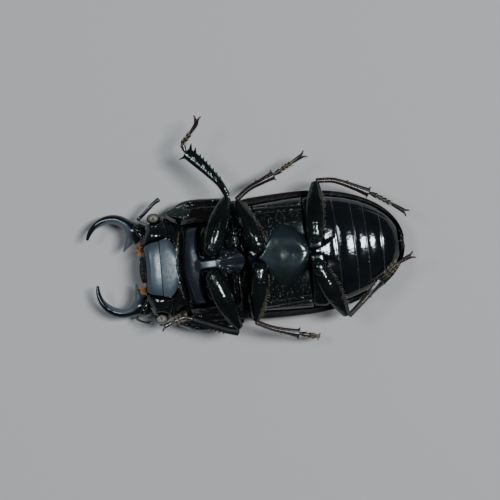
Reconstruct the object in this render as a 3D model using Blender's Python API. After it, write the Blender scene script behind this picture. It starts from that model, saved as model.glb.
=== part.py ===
"""A male stag beetle lying on its back, life size, one object for each plate and limb.

All sizes below are in millimetres. X runs from the head (-X) to the tail (+X), +Y is the
beetle's own left side and +Z is its underside, which faces up. The beetle rests at Z = 0
on the flats of its pronotum and wing cases, and the origin is on the pronotum's flat.
"""
import math

import bmesh
import bpy
from mathutils import Matrix, Vector

MM = 0.001
GAP = 0.3

# Wing cases
CASE_HALF_WIDTH = 6.2
CASE_WIDEST_X = 9.2
CASE_TIP_X = 20.0
CASE_FRONT_X = 3.4
CASE_RIM_Z = 3.4
CASE_OUTLINE_POWER = 2.1
CASE_WALL = 0.6
CASE_LIP_FRONT = 0.8
CASE_LIP_TIP = 0.35
CORE_GAP = GAP + 0.04

# Thorax
PRONOTUM_HALF_WIDTH = 6.6
PRONOTUM_RIM_Z = 3.6
PRONOTUM_WALL = 0.7
PRONOTUM_REAR_X = 3.1
SEAM_HALF_WIDTH = 4.2
SEAM_Z = 5.2
KEEL_Z = 6.8

# Dome of the back
DOME_POWER = 2.6
DOME_ROUND = 2.2
FLAT_SINK = 0.06

# Head
HEAD_YAW = math.radians(-2.0)
HEAD_FRONT_X = -6.1
HEAD_SIDE_Z = 3.3
EYE_AT = (-4.85, 5.02, 3.75)

# Jaws
JAW_BASE_LEFT = (-6.15, 4.03, 2.75)
JAW_BASE_RIGHT = (-6.39, -3.60, 2.75)
JAW_CLOSE_RIGHT = math.radians(-28.5)
JAW_ARC_CENTRE = (-2.85, -0.73)
JAW_ARC_RADIUS = 2.76


def stops(rows, at):
    """Value at one place, read smoothly between rows of place and value."""
    if at <= rows[0][0]:
        return rows[0][1]
    if at >= rows[-1][0]:
        return rows[-1][1]
    last = len(rows) - 1
    i = max(k for k in range(last) if rows[k][0] <= at)
    t = (at - rows[i][0]) / (rows[i + 1][0] - rows[i][0])
    before = rows[max(i - 1, 0)]
    after = rows[min(i + 2, last)]
    width = rows[i + 1][0] - rows[i][0]
    slope_a = (rows[i + 1][1] - before[1]) / (rows[i + 1][0] - before[0]) * width
    slope_b = (after[1] - rows[i][1]) / (after[0] - rows[i][0]) * width
    a = rows[i][1]
    b = rows[i + 1][1]
    return (a * (2 * t**3 - 3 * t**2 + 1) + slope_a * (t**3 - 2 * t**2 + t)
            + b * (3 * t**2 - 2 * t**3) + slope_b * (t**3 - t**2))


def through(knots, count):
    """Rows read along a smooth curve through the knots, whatever each row holds."""
    last = len(knots) - 1
    rows = []
    for n in range(count):
        place = n * last / (count - 1)
        i = min(int(place), last - 1)
        t = place - i
        p0 = knots[max(i - 1, 0)]
        p1 = knots[i]
        p2 = knots[i + 1]
        p3 = knots[min(i + 2, last)]
        rows.append([
            0.5 * (2 * b + (c - a) * t + (2 * a - 5 * b + 4 * c - d) * t**2
                   + (3 * b - a - 3 * c + d) * t**3)
            for a, b, c, d in zip(p0, p1, p2, p3)])
    return rows


def gauss(value, middle, width):
    return math.exp(-((value - middle) / width) ** 2)


# Meshes

def finished(mesh_data, name):
    """An object from a bmesh in millimetres, its faces turned out."""
    bmesh.ops.recalc_face_normals(mesh_data, faces=mesh_data.faces)
    mesh = bpy.data.meshes.new(name)
    mesh_data.to_mesh(mesh)
    mesh_data.free()
    mesh.transform(Matrix.Scale(MM, 4))
    mesh.shade_smooth()
    mesh.set_sharp_from_angle(angle=math.radians(38))
    piece = bpy.data.objects.new(name, mesh)
    bpy.context.collection.objects.link(piece)
    return piece


def slab(name, top, bottom):
    """A closed plate between two grids of points that have the same rows and columns."""
    rows = len(top)
    columns = len(top[0])
    mesh = bmesh.new()
    upper = [[mesh.verts.new(p) for p in row] for row in top]
    lower = [[mesh.verts.new(p) for p in row] for row in bottom]

    def quad(a, b, c, d):
        mesh.faces.new((a, b, c))
        mesh.faces.new((a, c, d))

    for i in range(rows - 1):
        for k in range(columns - 1):
            quad(upper[i][k], upper[i + 1][k], upper[i + 1][k + 1], upper[i][k + 1])
            mesh.faces.new((lower[i][k], lower[i + 1][k + 1], lower[i + 1][k]))
            mesh.faces.new((lower[i][k], lower[i][k + 1], lower[i + 1][k + 1]))
    for i in range(rows - 1):
        quad(upper[i][0], lower[i][0], lower[i + 1][0], upper[i + 1][0])
        quad(upper[i][-1], upper[i + 1][-1], lower[i + 1][-1], lower[i][-1])
    for k in range(columns - 1):
        quad(upper[0][k], upper[0][k + 1], lower[0][k + 1], lower[0][k])
        quad(upper[-1][k], lower[-1][k], lower[-1][k + 1], upper[-1][k + 1])
    return finished(mesh, name)


def sweep(name, knots, count, sides, start=0.0, end=0.0, up=(0, 0, 1), square=1.0, grow=0.0):
    """A closed limb along knots of x, y, z, half width and half height.

    start and end are how far each end bulges past the last knot; grow thickens it all.
    """
    rows = through(knots, count)
    points = [Vector(row[:3]) for row in rows]
    rings = []
    for n, row in enumerate(rows):
        along = (points[min(n + 1, count - 1)] - points[max(n - 1, 0)]).normalized()
        side = along.cross(Vector(up)).normalized()
        over = side.cross(along).normalized()
        rings.append((points[n], along, side, over, max(row[3], 0.02), max(row[4], 0.02)))

    def ring(centre, side, over, wide, high):
        loop = []
        for s in range(sides):
            a = math.tau * (s + 0.5) / sides
            c = math.copysign(abs(math.cos(a)) ** square, math.cos(a))
            d = math.copysign(abs(math.sin(a)) ** square, math.sin(a))
            loop.append(centre + side * c * (wide + grow) + over * d * (high + grow))
        return loop

    loops = []
    bulge = [math.radians(a) for a in (62, 34)]
    first = rings[0]
    final = rings[-1]
    pole_start = first[0] - first[1] * (start + grow)
    pole_end = final[0] + final[1] * (end + grow)
    if start > 0:
        for a in bulge:
            k = math.cos(a)
            loops.append(ring(first[0] - first[1] * (start + grow) * math.sin(a), first[2], first[3],
                              first[4] * k, first[5] * k))
    loops += [ring(r[0], r[2], r[3], r[4], r[5]) for r in rings]
    if end > 0:
        for a in reversed(bulge):
            k = math.cos(a)
            loops.append(ring(final[0] + final[1] * (end + grow) * math.sin(a), final[2], final[3],
                              final[4] * k, final[5] * k))
    mesh = bmesh.new()
    verts = [[mesh.verts.new(p) for p in loop] for loop in loops]
    for a, b in zip(verts, verts[1:]):
        for s in range(sides):
            t = (s + 1) % sides
            mesh.faces.new((a[s], a[t], b[t]))
            mesh.faces.new((a[s], b[t], b[s]))
    for loop, pole in ((verts[0], pole_start), (verts[-1], pole_end)):
        tip = mesh.verts.new(pole)
        for s in range(sides):
            mesh.faces.new((loop[s], loop[(s + 1) % sides], tip))
    return finished(mesh, name)


def ball(name, at, radii, sides, rings, turn=0.0, grow=0.0):
    """An egg with its poles up and down, turned about Z."""
    mesh = bmesh.new()
    bmesh.ops.create_uvsphere(mesh, u_segments=sides, v_segments=rings, radius=1.0)
    bmesh.ops.triangulate(mesh, faces=mesh.faces)
    size = Matrix.Diagonal([r + grow for r in radii]).to_4x4()
    bmesh.ops.transform(mesh, verts=mesh.verts,
                        matrix=Matrix.Translation(at) @ Matrix.Rotation(turn, 4, "Z") @ size)
    return finished(mesh, name)


def turned(piece, angle, about=(0, 0, 0)):
    """The piece turned about a vertical line."""
    centre = Matrix.Translation(Vector(about) * MM)
    piece.data.transform(centre @ Matrix.Rotation(angle, 4, "Z") @ centre.inverted())
    return piece


def joined(piece, others, operation, solver="EXACT"):
    """The piece after one Boolean with closed shapes, which are then removed."""
    group = bpy.data.collections.new("cutters")
    bpy.context.scene.collection.children.link(group)
    for other in others:
        for owner in list(other.users_collection):
            owner.objects.unlink(other)
        group.objects.link(other)
    boolean = piece.modifiers.new("join", "BOOLEAN")
    boolean.operation = operation
    boolean.operand_type = "COLLECTION"
    boolean.collection = group
    boolean.solver = solver
    scene_state = bpy.context.evaluated_depsgraph_get()
    mesh = bpy.data.meshes.new_from_object(piece.evaluated_get(scene_state))
    piece.modifiers.clear()
    old = piece.data
    piece.data = mesh
    mesh.name = piece.name
    bpy.data.meshes.remove(old)
    for other in others:
        bpy.data.objects.remove(other)
    bpy.data.collections.remove(group)
    keep_largest(piece)
    return piece


def keep_largest(piece):
    """Leaves only the largest closed surface of the piece."""
    mesh = bmesh.new()
    mesh.from_mesh(piece.data)
    bmesh.ops.remove_doubles(mesh, verts=mesh.verts, dist=0.0000004)
    bmesh.ops.dissolve_degenerate(mesh, edges=mesh.edges, dist=0.0000004)
    bmesh.ops.triangulate(mesh, faces=mesh.faces)
    unseen = set(mesh.faces)
    surfaces = []
    while unseen:
        surface = []
        queue = [unseen.pop()]
        while queue:
            face = queue.pop()
            surface.append(face)
            for edge in face.edges:
                for other in edge.link_faces:
                    if other in unseen:
                        unseen.remove(other)
                        queue.append(other)
        surfaces.append(surface)
    surfaces.sort(key=len)
    for surface in surfaces[:-1]:
        bmesh.ops.delete(mesh, geom=surface, context="FACES")
    mesh.to_mesh(piece.data)
    mesh.free()
    piece.data.shade_smooth()
    piece.data.set_sharp_from_angle(angle=math.radians(38))


# Materials

def material(name, colour, roughness):
    finish = bpy.data.materials.new(name)
    finish.use_nodes = True
    shader = finish.node_tree.nodes["Principled BSDF"]
    shader.inputs["Base Color"].default_value = (*colour, 1.0)
    shader.inputs["Roughness"].default_value = roughness
    return finish


GLOSS_BLACK = material("gloss_black", (0.012, 0.013, 0.015), 0.12)
SATIN_BLACK = material("satin_black", (0.030, 0.036, 0.042), 0.42)
BROWN_BLACK = material("brown_black", (0.035, 0.020, 0.014), 0.28)
EYE_GREY = material("eye_grey", (0.20, 0.18, 0.14), 0.25)
BRUSH_ORANGE = material("brush_orange", (0.62, 0.20, 0.03), 0.6)
LIP_RED = material("lip_red", (0.12, 0.035, 0.02), 0.4)


def coloured(piece, finish):
    piece.data.materials.clear()
    piece.data.materials.append(finish)
    return piece


# The back: wing cases, pronotum and scutellum

def rise(r):
    """Height of the flattened dome at r from its middle, 0 there and 1 at its rim."""
    return 1.0 - max(1.0 - min(r, 1.0) ** DOME_POWER, 0.0) ** (1.0 / DOME_ROUND)


def case_half_width(x, inset=0.0):
    """Half the width over both wing cases at x, or of the like outline inset from their rim."""
    if x <= CASE_WIDEST_X:
        back = (CASE_WIDEST_X - x) / (CASE_WIDEST_X - CASE_FRONT_X)
        return CASE_HALF_WIDTH * (1.0 - 0.035 * back**2 - 0.06 * back**14) - inset
    t = min((x - CASE_WIDEST_X) / (CASE_TIP_X - inset - CASE_WIDEST_X), 1.0)
    return (CASE_HALF_WIDTH - inset) * (1.0 - t**CASE_OUTLINE_POWER) ** (1.0 / CASE_OUTLINE_POWER)


def lip_width(x):
    """Width of the wing case's turned-up edge at x."""
    t = (x - CASE_FRONT_X) / (CASE_TIP_X - CASE_FRONT_X)
    return CASE_LIP_FRONT + (CASE_LIP_TIP - CASE_LIP_FRONT) * t


def case_height(x, y, inset, base):
    """Height of a dome inside the wing cases, inset from their rim and raised off the floor."""
    if x > CASE_WIDEST_X:
        n = CASE_OUTLINE_POWER
        t = (x - CASE_WIDEST_X) / (CASE_TIP_X - inset - CASE_WIDEST_X)
        r = (t**n + (abs(y) / (CASE_HALF_WIDTH - inset)) ** n) ** (1.0 / n)
    else:
        r = abs(y) / case_half_width(x, inset)
    return max(base, base - FLAT_SINK + (CASE_RIM_Z - base + FLAT_SINK) * rise(r))


def towards_tip(front, tip, count):
    """Places along the wing cases, closer together towards the tip."""
    return [front + (tip - 0.04 - front) * math.sin(0.5 * math.pi * n / (count - 1)) for n in range(count)]


def wing_case(name, side, stations=19, columns=10):
    """One wing case: a thin shell with a broad lip, from the seam down the back to its rim."""
    seam = 0.5 * GAP
    grids = []
    for base, tip in ((0.0, CASE_TIP_X), (CASE_WALL, CASE_TIP_X - CASE_LIP_TIP)):
        grid = []
        for x in towards_tip(CASE_FRONT_X, tip, stations):
            inset = lip_width(x) if base else 0.0
            wide = case_half_width(x, inset)
            ys = [seam + (wide - seam) * math.sin(0.5 * math.pi * k / (columns - 1)) for k in range(columns)]
            grid.append([(x, side * y, case_height(x, y, inset, base)) for y in ys])
        grids.append(grid)
    return coloured(slab(name, *grids), GLOSS_BLACK)


def neck_x(y):
    """Where the prothorax meets the head, bowed forward in the middle."""
    return -2.75 + 0.95 * (min(abs(y), 5.0) / 5.0) ** 1.2


def shield_front_x(y):
    """Front edge of the pronotum, which runs forward in a lobe beside the head."""
    lobe = stops([(4.85, 0.0), (5.25, 1.0), (6.7, 1.0)], abs(y))
    return neck_x(y) * (1 - lobe) - 3.15 * lobe


def shield_half_width(v):
    widths = [(0.0, 5.75), (0.08, 6.05), (0.25, 6.5), (0.45, PRONOTUM_HALF_WIDTH), (0.7, 6.5), (1.0, 6.3)]
    return stops(widths, v)


def shield_height(v, s, inset):
    """Height of the pronotum's back at v along it and s across it."""
    tip = max(stops([(0.0, 0.78), (0.3, 0.3), (0.5, 0.0), (0.75, 0.1), (1.0, 0.52)], v), 0.0)
    low = (1.0 - abs(s) ** DOME_POWER) * (1.0 - tip**DOME_POWER)
    lift = 1.0 - max(low, 0.0) ** (1.0 / DOME_ROUND)
    return max(inset, inset - FLAT_SINK + (PRONOTUM_RIM_Z - inset + FLAT_SINK) * lift)


def shield_section(v, inset, columns):
    """Points of the pronotum across the body, from one seam of the underside to the other."""
    wide = shield_half_width(v) - inset
    turned_in = []
    for share in (0.0, 0.3, 0.55, 0.8):
        y = SEAM_HALF_WIDTH + (wide - SEAM_HALF_WIDTH) * share
        turned_in.append((y, PRONOTUM_RIM_Z + 0.2 - 0.3 * inset
                          + (SEAM_Z - 0.9 * inset - PRONOTUM_RIM_Z) * (1.0 - share) ** 1.3))
    half = [(wide * math.sin(0.5 * math.pi * k / (columns - 1))) for k in range(columns)]
    back = [(y, shield_height(v, y / wide, inset)) for y in half]
    left = turned_in + [(wide - 0.02, PRONOTUM_RIM_Z + 0.12 - 0.08 * inset)] + list(reversed(back))
    right = [(-y, z) for y, z in reversed(left[:-1])]
    return left + right


def pronotum(name, stations=11, columns=8):
    outside = []
    inside = []
    for n in range(stations):
        v = n / (stations - 1)
        outer = shield_section(v, 0.0, columns)
        inner = shield_section(v, PRONOTUM_WALL, columns)
        for section, edge, place in ((outer, shield_front_x, outside), (inner, neck_x, inside)):
            fronts = [edge(y) for y, _ in section]
            place.append([(f + (PRONOTUM_REAR_X - f) * v, y, z) for f, (y, z) in zip(fronts, section)])
    return coloured(slab(name, outside, inside), GLOSS_BLACK)


def scutellum(name, grow=0.0, stations=6):
    """The small triangle of the back between the roots of the wing cases."""
    top = []
    bottom = []
    for n in range(stations):
        v = n / (stations - 1)
        wide = 0.75 * (1 - v**1.6) + 0.12 + grow
        x = CASE_FRONT_X + 0.02 - grow + (1.15 + 2 * grow) * v
        top.append([(x, wide * s, 0.6 + grow) for s in (-1, -0.5, 0, 0.5, 1)])
        bottom.append([(x, wide * s, 0.06 - 3 * grow) for s in (-1, -0.5, 0, 0.5, 1)])
    return coloured(slab(name, top, bottom), GLOSS_BLACK)


# The underside

def arch(s, power=2.3, root=1.7):
    """Height across a plate of the underside, 1 in the middle and 0 at its edges."""
    return max(1.0 - min(abs(s), 1.0) ** power, 0.0) ** (1.0 / root)


def spread(columns):
    """Places across the body from -1 to 1, closer together towards the edges."""
    return [math.sin(0.5 * math.pi * (2 * k / (columns - 1) - 1)) for k in range(columns)]


def prosternum(name, stations=8, columns=13):
    """The plate under the prothorax, between the fore coxae and up to the head."""
    wide = SEAM_HALF_WIDTH - GAP - 0.05
    top = []
    bottom = []
    for n in range(stations):
        v = n / (stations - 1)
        upper = []
        lower = []
        for s in spread(columns):
            y = wide * s
            x = neck_x(y) + (PRONOTUM_REAR_X - neck_x(y)) * v
            nose = stops([(0.0, 0.0), (0.15, 0.8), (0.35, 1.0), (0.8, 1.0), (1.0, 0.75)], v)
            crown = SEAM_Z + (KEEL_Z - SEAM_Z) * arch(s) * nose
            upper.append((x, y, crown))
            lower.append((x, y, PRONOTUM_WALL + GAP + 0.1 + 0.9 * s * s + 0.7 * (1 - v) ** 2))
        top.append(upper)
        bottom.append(lower)
    return coloured(slab(name, top, bottom), SATIN_BLACK)


def core_side(x):
    """Half the width of what lies between the wing cases' lips."""
    return case_half_width(x, lip_width(x) + CORE_GAP)


def belly_height(x, y):
    """Height of the underside over the wing cases' part of the body, before its plates."""
    side = stops([(3.4, 4.3), (9.0, 4.5), (14.0, 4.1), (19.4, 3.75)], x)
    middle = stops([(3.4, 6.3), (5.0, 6.7), (8.0, 6.75), (10.2, 6.65), (12.0, 6.45), (14.0, 6.3),
                    (16.5, 5.85), (18.3, 5.15), (19.4, 4.2)], x)
    height = side + (middle - side) * arch(y / core_side(x))
    shield = gauss(x, 8.2, 2.0) * gauss(y, 0.0, 2.2)
    dimple = gauss(x, 8.6, 1.0) * gauss(y, 0.0, 0.75)
    return height + 0.14 * shield - 0.16 * dimple


def core_floor(x, y):
    """Height of the inner body's lower side, a gap above the wing cases."""
    low = case_height(x, y, lip_width(x) + CORE_GAP, CASE_WALL + CORE_GAP)
    return min(low, CASE_RIM_Z - 0.05)


def plate(name, places, columns, finish, drop=None):
    """A plate of the underside with all that lies under it, down to the wing cases."""
    top = []
    bottom = []
    for x in places:
        ys = [core_side(x) * s for s in spread(columns)]
        top.append([(x, y, belly_height(x, y) - (drop(x) if drop else 0.0)) for y in ys])
        bottom.append([(x, y, core_floor(x, y)) for y in ys])
    return coloured(slab(name, top, bottom), finish)


def evenly(first, last, count):
    return [first + (last - first) * n / (count - 1) for n in range(count)]


SUTURES_X = (13.25, 14.97, 16.17, 17.66)
STEP_HEIGHT = 0.14
ABDOMEN_X = 10.35


def belly_steps(x):
    """How far the abdomen lies under the smooth belly, each ring tucked under the one before."""
    edges = (ABDOMEN_X,) + SUTURES_X + (CASE_TIP_X,)
    for a, b in zip(edges, edges[1:]):
        if x < b:
            return STEP_HEIGHT * (1.0 - (x - a) / (b - a)) ** 0.7
    return 0.0


def abdomen(name, columns=13):
    """The five rings of the abdomen in one piece, with a step at each seam."""
    last = CASE_TIP_X - CASE_LIP_TIP - CORE_GAP - 0.04
    places = [ABDOMEN_X, 11.6, 12.5]
    for a, b in zip(SUTURES_X, SUTURES_X[1:] + (last,)):
        places += [a - 0.03, a + 0.05, a + 0.55 * (b - a)]
    places += [last - 0.42, last - 0.14, last]
    return plate(name, places, columns, GLOSS_BLACK, belly_steps)


# Head

def head_rear_x(y):
    return neck_x(y) - GAP - 0.14


def head_half_width(v):
    return stops([(0.0, 4.5), (0.12, 4.95), (0.3, 5.2), (0.5, 5.05), (0.75, 4.5), (1.0, 4.25)], v)


def head_top(x, y, s):
    """Underside of the head: sunk under the chin plates, with a boss at each side of them."""
    crown = HEAD_SIDE_Z + 0.5 + 1.9 * arch(s, 3.0, 1.5)
    boss = 0.35 * gauss(x, -4.85, 0.9) * gauss(abs(y), 3.55, 0.7)
    nose = 0.7 * max(-5.2 - x, 0.0) ** 1.5
    return crown + boss - nose


def head_bottom(v, s):
    """The top of the head, which faces down."""
    forehead = stops([(0.0, 0.6), (0.3, 0.2), (0.6, 0.0), (1.0, -0.05)], v)
    return HEAD_SIDE_Z - 0.5 - (1.7 - forehead) * arch(s, 3.0, 1.6)


def head(name, stations=11, columns=15):
    top = []
    bottom = []
    for n in range(stations):
        v = n / (stations - 1)
        upper = []
        lower = []
        for s in spread(columns):
            y = head_half_width(v) * s
            x = HEAD_FRONT_X + (head_rear_x(y) - HEAD_FRONT_X) * v
            x += 0.55 * arch(1 - abs(s), 2.0, 1.0) * (1 - v) * abs(s) ** 6
            upper.append((x, y, head_top(x, y, s)))
            lower.append((x, y, head_bottom(v, s)))
        top.append(upper)
        bottom.append(lower)
    return coloured(slab(name, top, bottom), GLOSS_BLACK)


def chin(name, grow=0.0, stations=4, columns=9):
    """The mentum, a broad plate with a hollowed front edge and rounded corners."""
    top = []
    bottom = []
    for n in range(stations):
        v = n / (stations - 1)
        upper = []
        lower = []
        for s in spread(columns):
            wide = stops([(0.0, 2.2), (0.2, 2.42), (0.6, 2.6), (1.0, 2.72)], v) + grow
            y = wide * s
            front = -5.83 - 0.16 * s * s - grow
            x = front + (-4.53 + grow - front) * v
            crown = 5.72 + 0.16 * arch(s) + 0.1 * math.sin(math.pi * v)
            crown -= 0.35 * stops([(0.0, 1.0), (0.2, 0.15), (0.4, 0.0), (1.0, 0.0)], v) + 0.3 * abs(s) ** 4
            upper.append((x, y, crown + grow))
            lower.append((x, y, 4.7 - grow))
        top.append(upper)
        bottom.append(lower)
    return coloured(slab(name, top, bottom), SATIN_BLACK)


def throat(name, grow=0.0, stations=4, columns=9):
    """The gula behind the mentum, a smooth plate that narrows to the neck."""
    top = []
    bottom = []
    for n in range(stations):
        v = n / (stations - 1)
        upper = []
        lower = []
        for s in spread(columns):
            wide = stops([(0.0, 2.78), (0.35, 2.85), (0.7, 2.35), (1.0, 1.55)], v) + grow
            y = wide * s
            rear = head_rear_x(y) + 0.02
            x = -4.23 - grow + (rear + 4.23 + grow) * v
            crown = 5.86 + 0.2 * arch(s) * math.sin(math.pi * (0.25 + 0.5 * v)) - 0.25 * abs(s) ** 4
            upper.append((x, y, crown + grow))
            lower.append((x, y, 4.95 - grow))
        top.append(upper)
        bottom.append(lower)
    return coloured(slab(name, top, bottom), SATIN_BLACK)


def jaw(name, grow=0.0, count=17, sides=10):
    """A jaw in its own frame: a flat tapering arc from a thick root, with one inner tooth."""
    cx, cy = JAW_ARC_CENTRE
    knots = []
    for degrees, inner, high in ((169, 2.62, 0.1), (152, 2.5, 0.2), (132, 2.36, 0.34), (110, 2.14, 0.46),
                                 (88, 1.97, 0.58), (68, 1.85, 0.7)):
        a = math.radians(degrees)
        middle = 0.5 * (JAW_ARC_RADIUS + inner)
        half = 0.5 * (JAW_ARC_RADIUS - inner)
        knots.append((cx + middle * math.cos(a), cy + middle * math.sin(a), -0.15, half, high))
    knots += [(-1.38, 0.72, -0.05, 0.78, 0.85), (-0.82, 0.15, 0.0, 1.08, 0.98), (-0.1, -0.26, 0.0, 1.15, 1.0)]
    blade = sweep(name, knots, count, sides, end=0.35, grow=grow)
    tooth_knots = [(-0.95, 0.1, 0.1, 0.62, 0.62), (-1.35, -0.6, 0.1, 0.42, 0.5),
                   (-1.64, -1.2, 0.08, 0.24, 0.32), (-1.92, -1.74, 0.05, 0.05, 0.08)]
    tooth = sweep("tooth", tooth_knots, 7, 8, grow=grow)
    return coloured(joined(blade, [tooth], "UNION"), GLOSS_BLACK)


def placed_jaw(name, left, grow=0.0):
    piece = jaw(name, grow)
    at = JAW_BASE_LEFT if left else JAW_BASE_RIGHT
    if left:
        piece.data.transform(Matrix.Translation(Vector(at) * MM))
        return piece
    piece.data.transform(Matrix.Diagonal((1, -1, 1, 1)))
    piece.data.flip_normals()
    piece.data.transform(Matrix.Translation(Vector(at) * MM) @ Matrix.Rotation(JAW_CLOSE_RIGHT, 4, "Z"))
    return piece


def eye(name, side, grow=0.0):
    x, y, z = EYE_AT
    return coloured(ball(name, (x, side * y, z), (0.68, 0.5, 0.72), 12, 6, grow=grow), EYE_GREY)


def lip(name, stations=4, columns=7):
    """The labrum, a small shield over the mouth on the side that faces down."""
    top = []
    bottom = []
    for n in range(stations):
        v = n / (stations - 1)
        wide = 1.15 + 0.25 * v
        row = []
        for s in spread(columns):
            front = -6.75 + 0.12 * s * s
            row.append((front + (-6.4 - front) * v, wide * s, 2.2 + 0.15 * arch(s)))
        top.append(row)
        bottom.append([(x, y, 1.45 + 0.2 * (y / wide) ** 2) for x, y, _ in row])
    return coloured(slab(name, top, bottom), GLOSS_BLACK)


def tongue(name, grow=0.0, stations=5, columns=7):
    """The ligula, a leathery strip that shows in front of the mentum."""
    top = []
    bottom = []
    for n in range(stations):
        v = n / (stations - 1)
        row = []
        for s in spread(columns):
            front = -6.55 - grow + 0.1 * s * s
            row.append((front + (-5.6 + grow - front) * v, (1.3 + grow) * s, 4.0 + grow + 0.12 * arch(s)))
        top.append(row)
        bottom.append([(x, y, 3.4 - grow) for x, y, _ in row])
    return coloured(slab(name, top, bottom), LIP_RED)


def brush_root(name, side, grow=0.0):
    """The stub of the galea, from which the bristles of a mouth brush grow."""
    knots = [(-5.95, side * 1.98, 3.75, 0.26, 0.28), (-6.35, side * 2.0, 3.78, 0.2, 0.22)]
    return sweep(name, knots, 2, 6, start=0.1, end=0.08, grow=grow)


def brush(name, side):
    """A mouth brush: tapered locks of bristles that fan out of one stub."""
    locks = []
    for n in range(5):
        fan = (n - 2) * 0.5
        lift = 0.12 if n % 2 else -0.08
        root = (-6.15, side * (2.0 + 0.05 * fan), 3.78)
        middle = (-6.45, side * (2.0 + 0.16 * fan), 3.8 + lift)
        tip = (-6.95 + 0.12 * abs(fan), side * (2.02 + 0.42 * fan), 3.82 + 2 * lift)
        locks.append(sweep("lock", [(*root, 0.1, 0.12), (*middle, 0.13, 0.14), (*tip, 0.04, 0.04)], 3, 4))
    return coloured(joined(brush_root(name, side), locks, "UNION"), BRUSH_ORANGE)


def palp(name, side, grow=0.0):
    knots = [(-5.95, side * 2.95, 4.45, 0.25, 0.25), (-6.2, side * 3.4, 4.4, 0.25, 0.25),
             (-6.5, side * 3.9, 4.3, 0.25, 0.25), (-6.8, side * 4.35, 4.15, 0.2, 0.2)]
    return coloured(sweep(name, knots, 6, 6, start=0.12, end=0.15, grow=grow), GLOSS_BLACK)


SCAPES = {
    "left": [(-6.15, 5.3, 3.6, 0.25, 0.25), (-5.72, 5.68, 3.85, 0.25, 0.25), (-5.2, 6.12, 4.0, 0.25, 0.25),
             (-4.6, 6.62, 4.1, 0.27, 0.27), (-3.95, 6.98, 4.15, 0.32, 0.3)],
    "right": [(-6.1, -5.15, 3.6, 0.25, 0.25), (-6.5, -5.1, 3.3, 0.25, 0.25), (-7.05, -4.95, 2.7, 0.25, 0.25),
              (-7.55, -4.7, 1.9, 0.27, 0.27), (-7.8, -4.35, 1.1, 0.3, 0.3)],
}
CLUBS = {
    "left": [(-3.85, 6.9, 3.3, 0.25, 0.25), (-4.2, 6.65, 2.95, 0.25, 0.25), (-4.9, 6.2, 2.7, 0.25, 0.25),
             (-5.4, 5.95, 2.6, 0.3, 0.45), (-6.1, 5.6, 2.5, 0.26, 0.4)],
    "right": [(-7.45, -3.75, 0.75, 0.25, 0.25), (-7.0, -3.4, 0.65, 0.25, 0.25),
              (-6.4, -3.15, 0.6, 0.25, 0.25), (-5.8, -3.0, 0.58, 0.42, 0.3),
              (-5.1, -2.9, 0.56, 0.38, 0.28)],
}


def scape(side, grow=0.0):
    rod = sweep("antenna_scape_" + side, SCAPES[side], 7, 7, start=0.15, end=0.12, grow=grow)
    return coloured(rod, GLOSS_BLACK)


def club(side):
    return coloured(sweep("antenna_club_" + side, CLUBS[side], 8, 7, start=0.1, end=0.15), BROWN_BLACK)


# Legs

def fore_coxa(name, side, grow=0.0):
    knots = [(0.35, side * 1.0, 5.6, 0.75, 0.95), (0.4, side * 1.8, 5.55, 0.92, 1.05),
             (0.45, side * 2.7, 5.35, 0.9, 0.95), (0.5, side * 3.3, 5.15, 0.7, 0.75)]
    return sweep(name, knots, 5, 8, start=0.35, end=0.3, grow=grow)


def middle_coxa(name, side, grow=0.0):
    knots = [(5.0, side * 1.05, 5.75, 0.7, 0.8), (4.9, side * 1.75, 5.6, 0.9, 0.95),
             (4.75, side * 2.6, 5.3, 0.7, 0.75)]
    return sweep(name, knots, 4, 8, start=0.3, end=0.35, grow=grow)


def hind_coxa(name, side, grow=0.0):
    knots = [(11.0, side * 0.5, 5.8, 0.62, 0.75), (11.0, side * 1.8, 5.75, 0.78, 0.75),
             (10.95, side * 3.4, 5.3, 0.66, 0.62), (10.9, side * 4.7, 4.8, 0.42, 0.45)]
    return sweep(name, knots, 6, 8, start=0.25, end=0.25, grow=grow)


FEMURS = {
    "front_left": [(0.78, 1.35, 7.1, 0.72, 0.62), (1.2, 2.4, 7.15, 0.98, 0.74), (1.85, 4.0, 6.95, 0.98, 0.72),
                   (2.42, 5.3, 6.6, 0.72, 0.58), (2.86, 6.2, 6.3, 0.4, 0.4)],
    "front_right": [(0.62, -1.15, 7.1, 0.72, 0.62), (1.0, -2.3, 7.15, 0.94, 0.74),
                    (1.55, -3.9, 6.95, 0.98, 0.72), (2.1, -5.4, 6.6, 0.72, 0.58),
                    (2.55, -6.5, 6.3, 0.4, 0.4)],
    "middle_left": [(5.32, 1.15, 7.1, 0.62, 0.55), (5.1, 2.1, 7.1, 0.82, 0.64), (4.6, 3.6, 6.7, 0.85, 0.62),
                    (4.15, 4.9, 6.2, 0.64, 0.5), (3.88, 5.75, 5.8, 0.38, 0.36)],
    "middle_right": [(5.3, -1.05, 7.1, 0.62, 0.55), (5.15, -2.1, 7.1, 0.82, 0.64),
                     (4.85, -3.6, 6.7, 0.85, 0.62), (4.5, -5.0, 6.2, 0.64, 0.5),
                     (4.3, -5.95, 5.8, 0.38, 0.36)],
    "hind_left": [(11.12, 1.4, 7.15, 0.6, 0.52), (11.2, 2.5, 7.1, 0.82, 0.62), (11.4, 4.2, 6.6, 0.88, 0.6),
                  (11.6, 5.7, 5.95, 0.66, 0.5), (11.74, 6.65, 5.5, 0.4, 0.36)],
    "hind_right": [(11.05, -1.35, 7.15, 0.6, 0.52), (11.4, -2.4, 7.1, 0.82, 0.62),
                   (12.1, -4.1, 6.6, 0.88, 0.6), (12.8, -5.6, 5.95, 0.66, 0.5),
                   (13.2, -6.5, 5.5, 0.4, 0.36)],
}

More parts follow.
